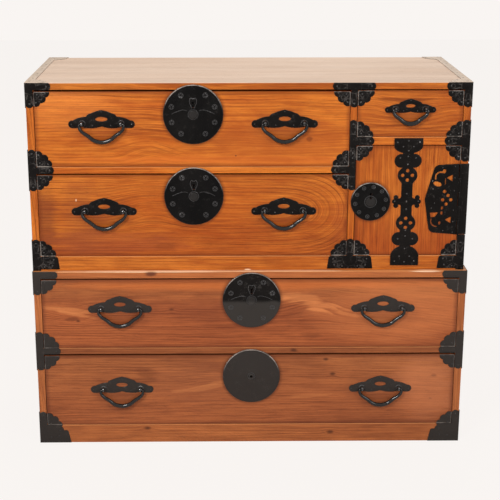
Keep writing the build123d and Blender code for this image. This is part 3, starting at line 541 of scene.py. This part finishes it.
def refine(node, ease, finishes, centres=(), flat=False):
    # a merged copy of a node with eased edges; the second finish is for the eased edges, rubbed pale and
    # painted with highlights, a third for round parts that stand out from the front, such as eyes, with
    # painted highlights
    source = nodes[node]
    mesh = bmesh.new()
    mesh.from_mesh(source.data)
    bmesh.ops.remove_doubles(mesh, verts=mesh.verts, dist=1e-6)
    if flat:
        limit = math.radians(easing["joined"])
        bmesh.ops.dissolve_limit(mesh, angle_limit=limit, verts=mesh.verts, edges=mesh.edges)
    bend = math.radians(easing["eased"])
    corners = [e for e in mesh.edges if len(e.link_faces) == 2 and e.calc_face_angle(0) > bend]
    made = bmesh.ops.bevel(mesh, geom=corners, offset=ease, offset_type="OFFSET", segments=2, profile=0.5,
                           affect="EDGES", clamp_overlap=False, material=-1)
    for face in mesh.faces:
        face.material_index = 0
    if len(finishes) > 1:
        for face in made["faces"]:
            face.material_index = 1
    if len(finishes) > 2:
        low, high = easing["round"]
        for face in set(mesh.faces) - set(made["faces"]):
            if low < abs(face.normal.y) < high:
                face.material_index = 2
    if centres:
        mapRosettes(mesh, centres)
    return settle(mesh, pieceName(node) + "Look", source["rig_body"], finishes, node)


def ironwork(node, finish, *more, centres=()):
    refine(node, easing["iron"], [finish, irons["edge"], *more], centres)


def frontOf(part):
    return "door_panel" if part == "door" else part + "_front"


def frontSpans(part):
    low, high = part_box(frontOf(part))
    return (low.x, high.x), (low.z, high.z)


def lockSpot(part):
    # middle and radius of a round lock plate
    low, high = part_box(part + "_lock")
    return (low.x + high.x) / 2, (low.z + high.z) / 2, (high.x - low.x) / 2


def ceilingOf(node):
    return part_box(node)[1].z


def middleOf(node, axis):
    low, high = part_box(node)
    return (low[axis] + high[axis]) / 2


def backPlanks(node, count=3):
    low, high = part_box(node)
    return low.z, (high.z - low.z) / count


topHeight = ceilingOf("upper_top")
caseBoards = {
    # axes along, across and into the board, stain, figure, other traces; rub is here the width of
    # the upper edge, worn pale and painted with a highlight, and its share
    "upper_top": ("xyz", "upper", {
        "heart": (0.06, 0.86), "sway": 0.09, "lines": 0.5, "shade": (232, 234, 240)}, {
        "bleached": topHeight}),
    "upper_left_side": ("zyx", "upper", {
        "heart": (-0.06, -0.74), "slope": 0.05, "sway": 0.08, "shade": (232, 222, 220)}, {}),
    "upper_right_side": ("zyx", "upper", {
        "heart": (0.10, 0.76), "slope": -0.05, "sway": 0.08, "shade": (222, 212, 212)}, {}),
    "lower_left_side": ("zyx", "lower", {"heart": (0.04, -0.74), "slope": 0.05, "sway": 0.08}, {}),
    "lower_right_side": ("zyx", "lower", {"heart": (-0.08, 0.76), "slope": 0.04, "sway": 0.08}, {}),
    "upper_bottom": ("xzy", "upper", {"heart": (0.80, -0.1), "gap": 0.006, "shade": (238, 238, 250)}, {
        "rub": (0.0028, 0.55), "marks": (
            (-0.0075, 0.5135, 0.011, 0.0026, 0, 0.8, bare, 0.95),
            (0.241, 0.532, 0.012, 0.005, 0, 0.8, smearAndShade, 0.4))}),
    "lower_bottom": ("xzy", "lower", {"heart": (0.30, -0.12), "gap": 0.007}, {
        "rub": (0.003, 0.45), "knots": ((-0.290, 0.043, 0.007), (0.2305, 0.0287, 0.006))}),
    "upper_drawer_rail": ("xzy", "upper", {"heart": (1.10, -0.1), "gap": 0.006}, {"rub": (0.0022, 0.5)}),
    "small_drawer_rail": ("xzy", "upper", {"heart": (1.10, -0.14), "gap": 0.006}, {"rub": (0.0026, 0.5)}),
    "lower_drawer_rail": ("xzy", "lower", {"heart": (0.60, -0.1), "gap": 0.007, "shade": (208, 204, 208)}, {
        "rub": (0.002, 0.5), "knots": ((0.122, 0.280, 0.006),)}),
    "upper_partition": ("zxy", "upper", {"heart": (0.60, -0.1), "gap": 0.005}, {}),
    "compartment_shelf": ("xyz", "inner", {"heart": (0.3, 0.9)}, {}),
    "upper_back": ("xzy", "inner", {
        "heart": (0.90, 0.34), "sway": 0.06, "planks": backPlanks("upper_back")}, {}),
    "lower_back": ("xzy", "inner", {
        "heart": (0.40, 0.34), "sway": 0.06, "planks": backPlanks("lower_back")}, {}),
    "lower_top": ("xzy", "lower", {"heart": (0.66, -0.1), "gap": 0.007}, {
        "rub": (0.0032, 0.5), "marks": (
            (0.0, 0.502, 0.62, 0.03, 0, 0.4, (216, 124, 66), 0.28),
            (-0.268, 0.5112, 0.25, 0.0026, 0, 0.5, bare, 0.9),
            (0.485, 0.5105, 0.045, 0.0024, 0, 0.9, bare, 0.8),
            (0.10, 0.5114, 0.20, 0.0013, 0, 0.9, bare, 0.6),
            (-0.272, 0.5055, 0.022, 0.008, 0, 0.8, smearAndShade, 0.85))}),
}
for seed, (node, (grain, stain, figure, extras)) in enumerate(caseBoards.items(), 1):
    if "rub" in extras:
        extras = {**extras, "rub": (ceilingOf(node), *extras["rub"])}
    finish = woodFinish(pieceName(node) + "Wood", grain, stains[stain], {**figure, "seed": seed}, **extras)
    refine(node, easing["board"], [finish], flat=True)

upperParts = ("drawer_1", "drawer_2", "small_drawer", "door")
lowerParts = ("drawer_3", "drawer_4")
fronts = {
    "drawer_1": {
        "figure": {"heart": (1.10, -0.21), "slope": 0.025, "gap": 0.0074, "sway": 0.07, "seed": 21.0,
                   "lines": 0.72, "swells": ((-0.27, 0.865, 0.13, 0.07, 0.022),
                                             (0.12, 0.88, 0.16, 0.06, -0.010))},
        "marks": (
            (0.0, 0.822, 0.62, 0.014, 0, 0.5, (208, 108, 36), 0.55),
            (-0.50, 0.96, 0.14, 0.06, 0, 0.8, (230, 138, 62), 0.2),
            (0.08, 0.88, 0.25, 0.08, 0, 0.8, (160, 74, 20), 0.6),
            (-0.265, 0.905, 0.075, 0.004, -0.08, 0.9, upperLine, 0.55),
            (0.157, 0.879, 0.009, 0.007, 0, 1.2, upperLine, 0.6),
            (-0.0396, 0.834, 0.003, 0.0025, 0, 0.5, smearAndShade, 0.8))},
    "drawer_2": {
        "figure": {"heart": (0.685, -0.236), "slope": 0.012, "gap": 0.0098, "sway": 0.03, "seed": 23.0,
                   "crest": (0.04, 1.9), "lines": 0.95, "shade": (250, 249, 250),
                   "swells": ((-0.26, 0.70, 0.17, 0.10, 0.034),)},
        "tints": ((0.55, 0.67, red, 0.45),),
        "marks": (
            (-0.560, 0.65, 0.045, 0.11, 0, 0.9, (112, 50, 22), 0.62),
            (-0.40, 0.59, 0.22, 0.04, 0, 0.8, (150, 74, 38), 0.4),
            (-0.46, 0.67, 0.07, 0.12, 0, 0.9, (130, 62, 30), 0.3),
            (0.245, 0.64, 0.03, 0.09, 0, 0.8, (150, 70, 28), 0.35),
            (-0.234, 0.580, 0.030, 0.010, 0, 0.9, upperLine, 0.3),
            (-0.471, 0.712, 0.002, 0.004, 0, 0.4, bare, 0.7))},
    "small_drawer": {
        "figure": {"heart": (0.80, -0.21), "slope": 0.05, "gap": 0.0086, "sway": 0.10, "seed": 25.0,
                   "lines": 0.9, "swells": ((0.42, 0.95, 0.13, 0.06, -0.018),),
                   "shade": (228, 218, 224)},
        "marks": (
            (0.41, 0.985, 0.10, 0.006, 0, 0.9, upperLine, 0.6),
            (0.38, 0.915, 0.09, 0.004, 0.05, 0.9, upperLine, 0.5),
            (0.47, 0.905, 0.07, 0.004, -0.05, 0.9, upperLine, 0.4))},
    "drawer_3": {
        "figure": {"heart": (0.80, -0.205), "slope": 0.03, "gap": 0.0072, "sway": 0.06, "seed": 27.0,
                   "lines": 0.66, "fan": (0.22, 0.10), "swells": ((-0.49, 0.39, 0.09, 0.05, -0.016),
                                                                  (0.18, 0.41, 0.12, 0.05, 0.022))},
        "tints": ((0.39, 0.455, (250, 204, 206), 0.35),),
        "knots": ((-0.2175, 0.4018, 0.0055), (-0.4764, 0.369, 0.004)),
        "marks": (
            (-0.50, 0.400, 0.075, 0.008, -0.14, 2.0, flame, 0.42),
            (-0.47, 0.385, 0.060, 0.006, -0.20, 2.0, flame, 0.36),
            (0.16, 0.432, 0.085, 0.011, -0.05, 2.2, flame, 0.36),
            (0.21, 0.408, 0.100, 0.012, -0.16, 2.4, flame, 0.44),
            (0.27, 0.385, 0.080, 0.008, -0.18, 2.2, flame, 0.34),
            (0.34, 0.372, 0.055, 0.005, -0.20, 2.2, flame, 0.28),
            (0.0, 0.475, 0.60, 0.022, 0, 0.7, (204, 108, 48), 0.5),
            (-0.12, 0.40, 0.20, 0.045, 0, 0.8, (128, 66, 38), 0.2),
            (0.40, 0.40, 0.26, 0.10, 0, 0.7, (214, 126, 72), 0.36),
            (-0.492, 0.374, 0.020, 0.008, 0, 1.2, lowerLine, 0.5),
            (0.170, 0.3254, 0.040, 0.012, 0, 0.9, lowerLine, 0.4))},
    "drawer_4": {
        "figure": {"heart": (0.60, -0.16), "slope": 0.03, "gap": 0.0080, "sway": 0.06, "seed": 29.0,
                   "lines": 0.42, "shade": (240, 243, 250),
                   "swells": ((-0.10, 0.175, 0.10, 0.04, 0.015),)},
        "tints": ((0.10, 0.30, (250, 214, 222), 0.3),),
        "knots": ((0.233, 0.208, 0.0055), (0.518, 0.202, 0.005), (0.5106, 0.1318, 0.003),
            (0.2126, 0.2522, 0.005)),
        "marks": (
            (-0.125, 0.170, 0.070, 0.007, 0.16, 2.2, flame, 0.34),
            (-0.085, 0.184, 0.045, 0.005, 0.20, 2.2, flame, 0.28),
            (0.16, 0.140, 0.080, 0.006, 0.10, 2.2, flame, 0.2),
            (0.50, 0.17, 0.10, 0.11, 0, 0.7, (206, 126, 82), 0.34),
            (-0.15, 0.17, 0.16, 0.08, 0, 0.8, (128, 70, 46), 0.25),
            (-0.295, 0.208, 0.035, 0.024, 0, 1.2, lowerLine, 0.4))},
    "door": {
        "figure": {"heart": (0.95, -0.215), "slope": 0.02, "gap": 0.0075, "sway": 0.05, "seed": 31.0,
                   "lines": 0.55, "shade": (232, 226, 228)},
        "tints": ((0.57, 0.74, red, 0.5),),
        "marks": (
            (0.84, 0.31, 0.03, 0.03, 0, 1.0, upperLine, 0.45),
            (0.76, 0.50, 0.05, 0.03, 0, 0.8, (232, 140, 56), 0.35))},
}
bailShape = {
    # from the inner end of the pin down to the middle, in mm: out, down, radius
    "points": ((47.6, 0, 2.4), (50.5, 0, 2.4), (54.6, 0, 2.5), (58.6, -1.2, 3.6), (59.4, -8, 4.1),
               (56.8, -15.5, 4.3), (49.5, -23.0, 4.7), (40.5, -28.5, 5.0), (33, -34, 5.2), (26, -41, 5.4),
               (15, -46.6, 5.7), (0, -49.6, 5.9)),
    "pinRadius": 2.5, "smallScale": 0.77, "smallThickness": 1.12,
}
# painted shadow and grime behind a pull: its middle below the pins, its half sizes, how ragged it is
# and its share
pullShadowGrime = {"drop": 0.012, "wide": 0.104, "tall": 0.052, "ragged": 0.5, "share": 0.22}
# keyholes above the middles of their plates; the shadow inside one is painted as a dark mark lower by drop
keyhole = {"rise": {"drawer_1": 0.031, "drawer_2": 0.031, "drawer_3": 0.031, "drawer_4": 0.0,
                    "door": 0.0207},
           "drop": 0.004, "sizes": (0.0075, 0.0125), "dark": (12, 8, 6)}
# grime and painted shade along the edges of the fronts
edgeGrimeShade = {"drawers": (0.014, 0.6), "door": (0.013, 0.6)}  # its width along the edges and its share


def pullScale(node):
    return bailShape["smallScale"] if node.startswith("small_drawer") else 1.0


pulls = {}
for joint in frame["joints"]:
    if "_bail" in joint["child"]:
        pulls.setdefault(joint["child"].split("_bail")[0], []).append(joint["pos_m"])

for part, look in fronts.items():
    # the grain of the door stands upright, so there a place is its height first
    grain, turned = ("zxy", -1) if part == "door" else ("xzy", 1)
    extras = {key: look[key] for key in ("tints", "marks", "knots") if key in look}
    extras["rim"] = (*frontSpans(part)[::turned], *edgeGrimeShade.get(part, edgeGrimeShade["drawers"]))
    scale = pullScale(part)
    for xPull, _, zPull in pulls.get(part, ()):
        # a painted shadow of the bail, with grime, round and below its pins
        spot = (xPull, zPull - pullShadowGrime["drop"] * scale)
        sizes = (pullShadowGrime["wide"] * scale, pullShadowGrime["tall"] * scale)
        extras["marks"] += ((*spot, *sizes, 0, pullShadowGrime["ragged"], smearAndShade, pullShadowGrime["share"]),)
    if part + "_lock" in nodes:
        xLock, zLock, lockRadius = lockSpot(part)
        extras["halo"] = (*(xLock, zLock)[::turned], lockRadius)
        # the shadow inside the keyhole is painted as a dark mark on the wood behind it
        spot = (xLock, zLock + keyhole["rise"][part] - keyhole["drop"])
        extras["marks"] += ((*spot[::turned], *keyhole["sizes"][::turned], 0, 0.0, keyhole["dark"], 1.0),)
    name = pieceName(frontOf(part).replace("_front", ""))
    stain = stains["lower" if part in lowerParts else "upper"]
    finish = woodFinish(name + "Wood", grain, stain, look["figure"], **extras)
    refine(frontOf(part), easing["front"], [finish], flat=True)
    if part != "door":
        inside = {"heart": (1.5, 0.2), "seed": look["figure"]["seed"] + 40, "lines": 0.4}
        finish = woodFinish(name + "BoxWood", "yzx", stains["inner"], inside)
        refine(part + "_box", easing["board"], [finish], flat=True)
print("boards finished")

# middles of the rosettes, on the lines of the stiles and rails
ironSet = {"stile": 0.010, "upper": 0.009, "lower": 0.017}
upperEnds = (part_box("upper_left_side")[0].x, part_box("upper_right_side")[1].x)
lowerEnds = (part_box("lower_left_side")[0].x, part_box("lower_right_side")[1].x)
upperFace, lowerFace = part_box("upper_left_side")[0].y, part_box("lower_left_side")[0].y
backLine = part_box("upper_back")[1].y
partitionLine = middleOf("upper_partition", 0)
topLine, lowerTopLine = middleOf("upper_top", 2), middleOf("lower_top", 2)
wideRailLine, doorRailLine = middleOf("upper_drawer_rail", 2), middleOf("small_drawer_rail", 2)
lowerRailLine = middleOf("lower_drawer_rail", 2)
upperBaseLine = ceilingOf("upper_bottom") - ironSet["upper"]
lowerBaseLine = ceilingOf("lower_bottom") - ironSet["lower"]
upperLines = (topLine, wideRailLine, doorRailLine, upperBaseLine)
lowerLines = (lowerTopLine, lowerRailLine, lowerBaseLine)
upperCentres = [("y", upperEnds[0] + ironSet["stile"], z) for z in (topLine, wideRailLine, upperBaseLine)]
upperCentres += [("y", upperEnds[1] - ironSet["stile"], z) for z in (topLine, doorRailLine, upperBaseLine)]
upperCentres += [("y", partitionLine, z) for z in upperLines]
upperCentres += [("x", upperFace, z) for z in upperLines]
upperCentres += [("x", backLine, topHeight), ("x", backLine, upperBaseLine)]
upperCentres += [("z", x, y) for x in upperEnds for y in (upperFace, backLine)]
lowerStiles = (lowerEnds[0] + ironSet["stile"], lowerEnds[1] - ironSet["stile"])
lowerCentres = [("y", x, z) for x in lowerStiles for z in lowerLines]
lowerCentres += [("x", lowerFace, z) for z in lowerLines] + [("x", backLine, lowerBaseLine)]

# irons of the fronts: rubbed edges painted with a highlight, their width and share above and below
rubbedGlintRim = {"width": 0.0024, "upper": 0.72, "lower": 0.35}
# nail marks on the irons of the top: from the side and the front of the case, in metres
topDots = ((0.0105, 0.012), (0.047, 0.010), (0.034, 0.040), (0.0105, 0.074), (0.0105, 0.160),
           (0.0105, 0.245), (0.0105, 0.330), (0.0105, 0.415), (0.047, 0.468), (0.0105, 0.470))
dots = [(end + sign * a, upperFace + b) for end, sign in zip(upperEnds, (1, -1)) for a, b in topDots]
caseFinishes = [ironFinish("upperCaseIron", ironLooks["engraved"], dusty=topHeight, dots=dots),
                ironFinish("upperCaseEdge", ironLooks["edge"], dusty=topHeight)]
refine("upper_case_irons", easing["iron"], caseFinishes, upperCentres)
ironwork("lower_case_irons", irons["grey"])
for parts, look, share, centres in ((upperParts, "engraved", rubbedGlintRim["upper"], upperCentres),
                                    (lowerParts, "grey", rubbedGlintRim["lower"], ())):
    for part in parts:
        rim = (*frontSpans(part), rubbedGlintRim["width"], share)
        finish = ironFinish(pieceName(part) + "CornerIron", ironLooks[look], rim=rim)
        ironwork(part + "_corner_irons", finish, centres=centres)
for node in ("door_strap", "door_hinge_leaf", "door_hinge_case_leaf"):
    ironwork(node, irons["black"])
for drawer in (part for part in fronts if part in pulls):
    ironwork(drawer + "_pull_plates", irons["grey" if drawer in lowerParts else "black"], irons["eye"])
print("irons refined")

locks = {
    # look of the plate, radius of the boss, height of the split above the middle, marks round it
    "drawer_1": ("glossy", 0.0122, None, True),
    "drawer_2": ("glossy", 0.0122, None, True),
    "drawer_3": ("black", 0.0122, -0.004, True),
    "drawer_4": ("grey", 0.0085, None, False),
    "door": ("glossy", 0.0140, None, False),
}
lockMarks = {
    # how far the plates stand before the wood, and the ring round each boss: its gap and line
    "proud": 0.0022, "bossGap": 0.0012, "bossLine": 0.0009,
    # flowers: degrees round the plate, their circle, then each one's ring, petals and their circle
    "angles": (20, 58, 122, 160, 200, 238, 302, 340), "circle": 0.0608, "ring": 0.0068, "line": 0.00065,
    "petals": 5, "petalCircle": 0.0042, "petal": 0.0020,
    # the door has a ring round the middle, and small rings with a dome in each
    "doorRing": 0.0160, "doorAngles": range(8, 360, 36),
    "doorCircle": 0.0418, "doorSmallRing": 0.0048, "doorLine": 0.0011, "doorDome": 0.0024,
    # one half of the keyhole's frame and one brow line: points from the middle, and thickness
    "traces": ((((-0.0022, 0.0175), (-0.0042, 0.0175), (-0.0058, 0.024), (-0.0096, 0.031),
                 (-0.0094, 0.040), (-0.0056, 0.0455), (-0.0018, 0.0415), (0, 0.0425)), 0.0008),
               (((0.016, 0.010), (0.024, 0.0135), (0.036, 0.0105), (0.048, 0.0065), (0.057, 0.0015)),
                0.0006)),
}


def addRing(mesh, x, y, z, radius, line):
    # a thin raised ring on the plane y, spun from a small circle
    start = Matrix.Translation((x + radius, y, z))
    made = bmesh.ops.create_circle(mesh, cap_ends=False, radius=line, segments=5, matrix=start)
    around = {e for v in made["verts"] for e in v.link_edges}
    bmesh.ops.spin(mesh, geom=made["verts"] + list(around), cent=(x, y, z), axis=(0, 1, 0),
                   angle=2 * math.pi, steps=max(12, int(radius * 2200)), use_merge=True,
                   use_duplicate=False)


def addDome(mesh, place, outward, radius, rise=0.55, sides=8, rings=5):
    # a flattened ball half sunk in the face
    turn = Vector(outward).to_track_quat("Z", "Y").to_matrix().to_4x4()
    flat = Matrix.Translation(place) @ turn @ Matrix.Diagonal((1, 1, rise, 1))
    bmesh.ops.create_uvsphere(mesh, u_segments=sides, v_segments=rings, radius=radius, matrix=flat)


def onCircle(x, y, z, radius, turn):
    return x + radius * math.cos(turn), y, z + radius * math.sin(turn)


def flower(mesh, x, y, z):
    addRing(mesh, x, y, z, lockMarks["ring"], lockMarks["line"])
    for i in range(lockMarks["petals"]):
        turn = 2 * math.pi * i / lockMarks["petals"] + math.pi / 2
        place = onCircle(x, y, z, lockMarks["petalCircle"], turn)
        addDome(mesh, place, (0, -1, 0), lockMarks["petal"], 0.3, 6, 4)


def trace(name, body, finish, lines, smooth=8, sides=3):
    # raised lines on a face, or a bail, each as points (x, y, z, radius) in metres
    data = bpy.data.curves.new(name, "CURVE")
    data.dimensions = "3D"
    data.bevel_depth = mm
    data.bevel_resolution = sides
    data.resolution_u = smooth
    data.use_fill_caps = True
    for points in lines:
        spline = data.splines.new("NURBS")
        spline.points.add(len(points) - 1)
        for point, (x, y, z, radius) in zip(spline.points, points):
            point.co = (x, y, z, 1)
            point.radius = radius / mm
        spline.order_u = 3
        spline.use_endpoint_u = True
    drawn = bpy.data.objects.new(name + "Line", data)
    tube = bpy.data.meshes.new_from_object(drawn)
    bpy.data.objects.remove(drawn)
    bpy.data.curves.remove(data)
    tube.materials.clear()
    tube.materials.append(finish)
    piece = bpy.data.objects.new(name, tube)
    scene.collection.objects.link(piece)
    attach(piece, body)
    return piece


for part, (look, boss, rise, figures) in locks.items():
    node = part + "_lock"
    body = nodes[node]["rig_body"]
    xMiddle, zMiddle, radius = lockSpot(part)
    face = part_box(frontOf(part))[0].y - lockMarks["proud"]
    split = None if rise is None else zMiddle + rise
    disc = (xMiddle, zMiddle, radius, boss, split)
    finish = ironFinish(pieceName(part) + "LockIron", ironLooks[look], disc=disc)
    ironwork(node, finish)
    mesh = bmesh.new()
    if part == "door":
        addRing(mesh, xMiddle, face, zMiddle, lockMarks["doorRing"], lockMarks["doorLine"])
        for angle in lockMarks["doorAngles"]:
            place = onCircle(xMiddle, face, zMiddle, lockMarks["doorCircle"], math.radians(angle))
            addRing(mesh, *place, lockMarks["doorSmallRing"], lockMarks["doorLine"])
            addDome(mesh, place, (0, -1, 0), lockMarks["doorDome"], 0.4, 6, 4)
    else:
        if figures:
            for angle in lockMarks["angles"]:
                flower(mesh, *onCircle(xMiddle, face, zMiddle, lockMarks["circle"], math.radians(angle)))
        addRing(mesh, xMiddle, face, zMiddle, boss + lockMarks["bossGap"], lockMarks["bossLine"])
    settle(mesh, pieceName(part) + "LockMarks", body, [irons["mark"]], slot="black_iron")
    if figures:
        lines = [[(xMiddle + side * a, face, zMiddle + b, thick) for a, b in points]
                 for side in (-1, 1) for points, thick in lockMarks["traces"]]
        keyTrace = trace(part.replace("_", "") + "KeyTrace", body, irons["mark"], lines)
print("locks finished")


def bailPiece(node, pivot, along, scale):
    # a forged bail, thicker towards its middle, hanging from its two eyes
    thick = 1.0 if scale == 1.0 else bailShape["smallThickness"]
    half = [(out * scale, down * scale, radius * (thick if radius > bailShape["pinRadius"] else 1.0))
            for out, down, radius in bailShape["points"]]
    whole = [(-out, down, radius) for out, down, radius in half] + half[-2::-1]
    points = []
    for out, down, radius in whole:
        place = Vector(pivot) + Vector(along) * (out * mm) + Vector((0, 0, down * mm))
        points.append((*place, radius * mm))
    name = lowered(pieceName(node)) + "Look"
    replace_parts(trace(name, nodes[node]["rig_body"], irons["bail"], [points], 10, 5), node)


for joint in frame["joints"]:
    node = joint["child"]
    if node not in nodes:
        continue  # a drawer, the door or a case, which isn't one node
    along = (0, 1, 0) if "_handle_" in node else (1, 0, 0)
    bailPiece(node, joint["pos_m"], along, pullScale(node))
print("bails forged")

nailLook = {
    "radius": 0.0023, "smallRadius": 0.0017,
    # iron is flat where it faces the nail this squarely and steps no more than this, in metres
    "square": 0.99, "step": 0.0001,
    # round a rosette: radius of a ring, how many, degrees to the first
    "rows": ((0.046, 8, 22.5), (0.0295, 4, 45.0), (0.046, 4, 0.0)),
    # the rest in mm: on a full-sized pull plate, from its middle, which is plateRise above the pins
    "plate": ((0, 19.5), (-40, 7.5), (40, 7.5), (-80, -14), (80, -14), (-24, -17), (24, -17)),
    "plateRise": 12,
    # on the strap, from its middle line and its foot
    "strap": ((-30, 345), (0, 349), (30, 345), (-14, 333), (14, 333), (0, 322), (-21, 302), (21, 302),
              (0, 306), (0, 285), (0, 239), (0, 203), (0, 182), (0, 160), (-32, 182), (32, 182), (0, 100),
              (-20, 76), (20, 76), (0, 84), (-27, 12), (0, 10), (27, 12), (-14, 26), (14, 26), (0, 48)),
    # on the leaf of the door, from leafInset inside its right edge and from its middle
    "leaf": ((-14, 92), (-14, 60), (-14, 24), (-14, -30), (-14, -62), (-14, -92), (-48, 88), (-72, 30),
             (-66, -10), (-74, -24), (-62, -74), (-40, -88), (-74, 52)), "leafInset": 3,
    # on the leaf of the case: in from its front and back edges, and up from its foot
    "caseLeafInsets": (18, 9), "caseLeaf": (14, 60, 98, 137, 183),
}


def driveNails(node, axis, sign, spots, radius):
    # one dome at each spot where the iron lies flat under it; spots are in the plane across the axis
    source = nodes[node]
    faces = [p.vertices[:] for p in source.data.polygons]
    tree = BVHTree.FromPolygons([v.co for v in source.data.vertices], faces)
    index = "xyz".index(axis)
    a, b = [i for i in range(3) if i != index]
    outward = Vector((0, 0, 0))
    outward[index] = sign

    def probe(first, second):
        start = Vector((0, 0, 0))
        start[index], start[a], start[b] = 2.0 * sign, first, second
        return tree.ray_cast(start, -outward)

    mesh = bmesh.new()
    count = 0
    for first, second in spots:
        hit, normal, _, _ = probe(first, second)
        if hit is None or normal.dot(outward) < nailLook["square"]:
            continue
        sides = ((radius, 0), (-radius, 0), (0, radius), (0, -radius))
        around = [probe(first + dx, second + dy)[0] for dx, dy in sides]
        if any(h is None or abs(h[index] - hit[index]) > nailLook["step"] for h in around):
            continue
        addDome(mesh, hit, outward, radius)
        count += 1
    if count == 0:
        mesh.free()
        return 0
    ending = "Nails" + {("y", -1): "Front", ("x", -1): "Left", ("x", 1): "Right"}[(axis, sign)]
    look = "greyNail" if node.startswith(("lower", "drawer_3", "drawer_4")) else "nail"
    settle(mesh, pieceName(node) + ending, source["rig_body"], [irons[look]], slot="black_iron")
    return count


def ringSpots(centres, axis):
    # rings of spots round each rosette on the faces across the axis
    rows = [(radius, math.radians(first) + 2 * math.pi * i / number)
            for radius, number, first in nailLook["rows"] for i in range(number)]
    return [(a + radius * math.cos(turn), b + radius * math.sin(turn))
            for own, a, b in centres if own == axis for radius, turn in rows]


large, small = nailLook["radius"], nailLook["smallRadius"]
nailCount = 0
cases = (("upper", upperParts, upperCentres), ("lower", lowerParts, lowerCentres))
for case, parts, centres in cases:
    for node in (case + "_case_irons", *(part + "_corner_irons" for part in parts)):
        nailCount += driveNails(node, "y", -1, ringSpots(centres, "y"), large)
for case, _, centres in cases:
    for sign in (-1, 1):
        nailCount += driveNails(case + "_case_irons", "x", sign, ringSpots(centres, "x"), large)
for drawer, places in pulls.items():
    scale = pullScale(drawer)
    spots = [(x + a * mm * scale, z + (nailLook["plateRise"] + b) * mm * scale)
             for x, _, z in places for a, b in nailLook["plate"]]
    nailCount += driveNails(drawer + "_pull_plates", "y", -1, spots, small)
strapLine, strapFoot = middleOf("door_strap", 0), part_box("door_strap")[0].z
spots = [(strapLine + a * mm, strapFoot + b * mm) for a, b in nailLook["strap"]]
nailCount += driveNails("door_strap", "y", -1, spots, large)
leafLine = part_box("door_hinge_leaf")[1].x - nailLook["leafInset"] * mm
leafMiddle = middleOf("door_hinge_leaf", 2)
spots = [(leafLine + a * mm, leafMiddle + b * mm) for a, b in nailLook["leaf"]]
nailCount += driveNails("door_hinge_leaf", "y", -1, spots, small)
low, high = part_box("door_hinge_case_leaf")
frontInset, backInset = nailLook["caseLeafInsets"]
rows = (low.y + frontInset * mm, high.y - backInset * mm)
spots = [(y, low.z + b * mm) for y in rows for b in nailLook["caseLeaf"]]
nailCount += driveNails("door_hinge_case_leaf", "x", 1, spots, large)
print("nails driven:", nailCount)

paper = tone(249, 245, 242)
floorLook = {"matt": tone(248, 245, 242), "glowSeen": 0.965, "glowMirrored": 0.5, "size": 9}
ground = Finish(bpy.data.materials.new("paleFloor"))
straight = ground.add("LightPath", output="Is Camera Ray")
through = ground.add("LightPath", output="Is Transmission Ray")
mirrored = ground.add("LightPath", output="Is Glossy Ray")
seen = ground.most(straight, through)
matt = ground.add("BsdfDiffuse", None, {"Color": floorLook["matt"]})
glow = ground.add("Emission", None, {"Color": paper, "Strength": 1.0})
share = ground.most(seen * floorLook["glowSeen"], mirrored * floorLook["glowMirrored"])
ground.close(ground.add("MixShader", None, {0: share, 1: matt, 2: glow}))
mesh = bmesh.new()
bmesh.ops.create_grid(mesh, x_segments=1, y_segments=1, size=floorLook["size"])
data = bpy.data.meshes.new("floor")
mesh.to_mesh(data)
mesh.free()
data.materials.append(ground.owner)
floor = bpy.data.objects.new("floor", data)
scene.collection.objects.link(floor)
floor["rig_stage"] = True

worldLook = {"Color": (1, 0.99, 0.975, 1), "Strength": 0.36}
scene.world = bpy.data.worlds.new("studio")
sky = Finish(scene.world)
shown = sky.add("LightPath", output="Is Camera Ray")
for kind in ("Is Glossy Ray", "Is Transmission Ray"):
    # mirrors and glass show the backdrop too
    shown = sky.most(shown, sky.add("LightPath", output=kind))
plain = sky.add("Background", None, worldLook)
backdrop = sky.add("Background", None, {"Color": paper, "Strength": 1.0})
either = sky.add("MixShader", None, {0: shown, 1: plain, 2: backdrop})
sky.close(either, "OutputWorld")

lamps = {
    # place, what it looks at, size, power
    "key": ((-1.6, -3.2, 2.9), (0, 0, 0.6), 1.0, 112),
    "fill": ((2.6, -2.8, 1.9), (0, 0, 0.5), 1.6, 44),
    "rim": ((0.6, 2.4, 2.8), (0, 0, 0.9), 1.6, 36),
}
for name, (place, aim, size, power) in lamps.items():
    lamp = bpy.data.lights.new(name, "AREA")
    lamp.shape = "SQUARE"
    lamp.size = size
    lamp.energy = power
    holder = bpy.data.objects.new(name, lamp)
    holder.location = place
    holder.rotation_euler = (Vector(aim) - Vector(place)).to_track_quat("-Z", "Y").to_euler()
    scene.collection.objects.link(holder)

shot = {"place": (-0.0765, -3.3406, 1.528), "down": 15.9, "turn": -0.64, "lens": 85.68, "sensor": 36,
        "shift": (0.03, -0.05), "far": 50}
view = bpy.data.cameras.new("frontView")
view.lens = shot["lens"]
view.sensor_width = shot["sensor"]
view.shift_x, view.shift_y = shot["shift"]
view.clip_end = shot["far"]
camera = bpy.data.objects.new("frontView", view)
camera.location = shot["place"]
camera.rotation_euler = (math.radians(90 - shot["down"]), 0, math.radians(shot["turn"]))
scene.collection.objects.link(camera)
scene.camera = camera
scene.view_settings.view_transform = "Standard"
print("studio set")

sizes = {"cad": [list(corner) for corner in cadBox], "visual": [list(corner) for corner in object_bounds()]}
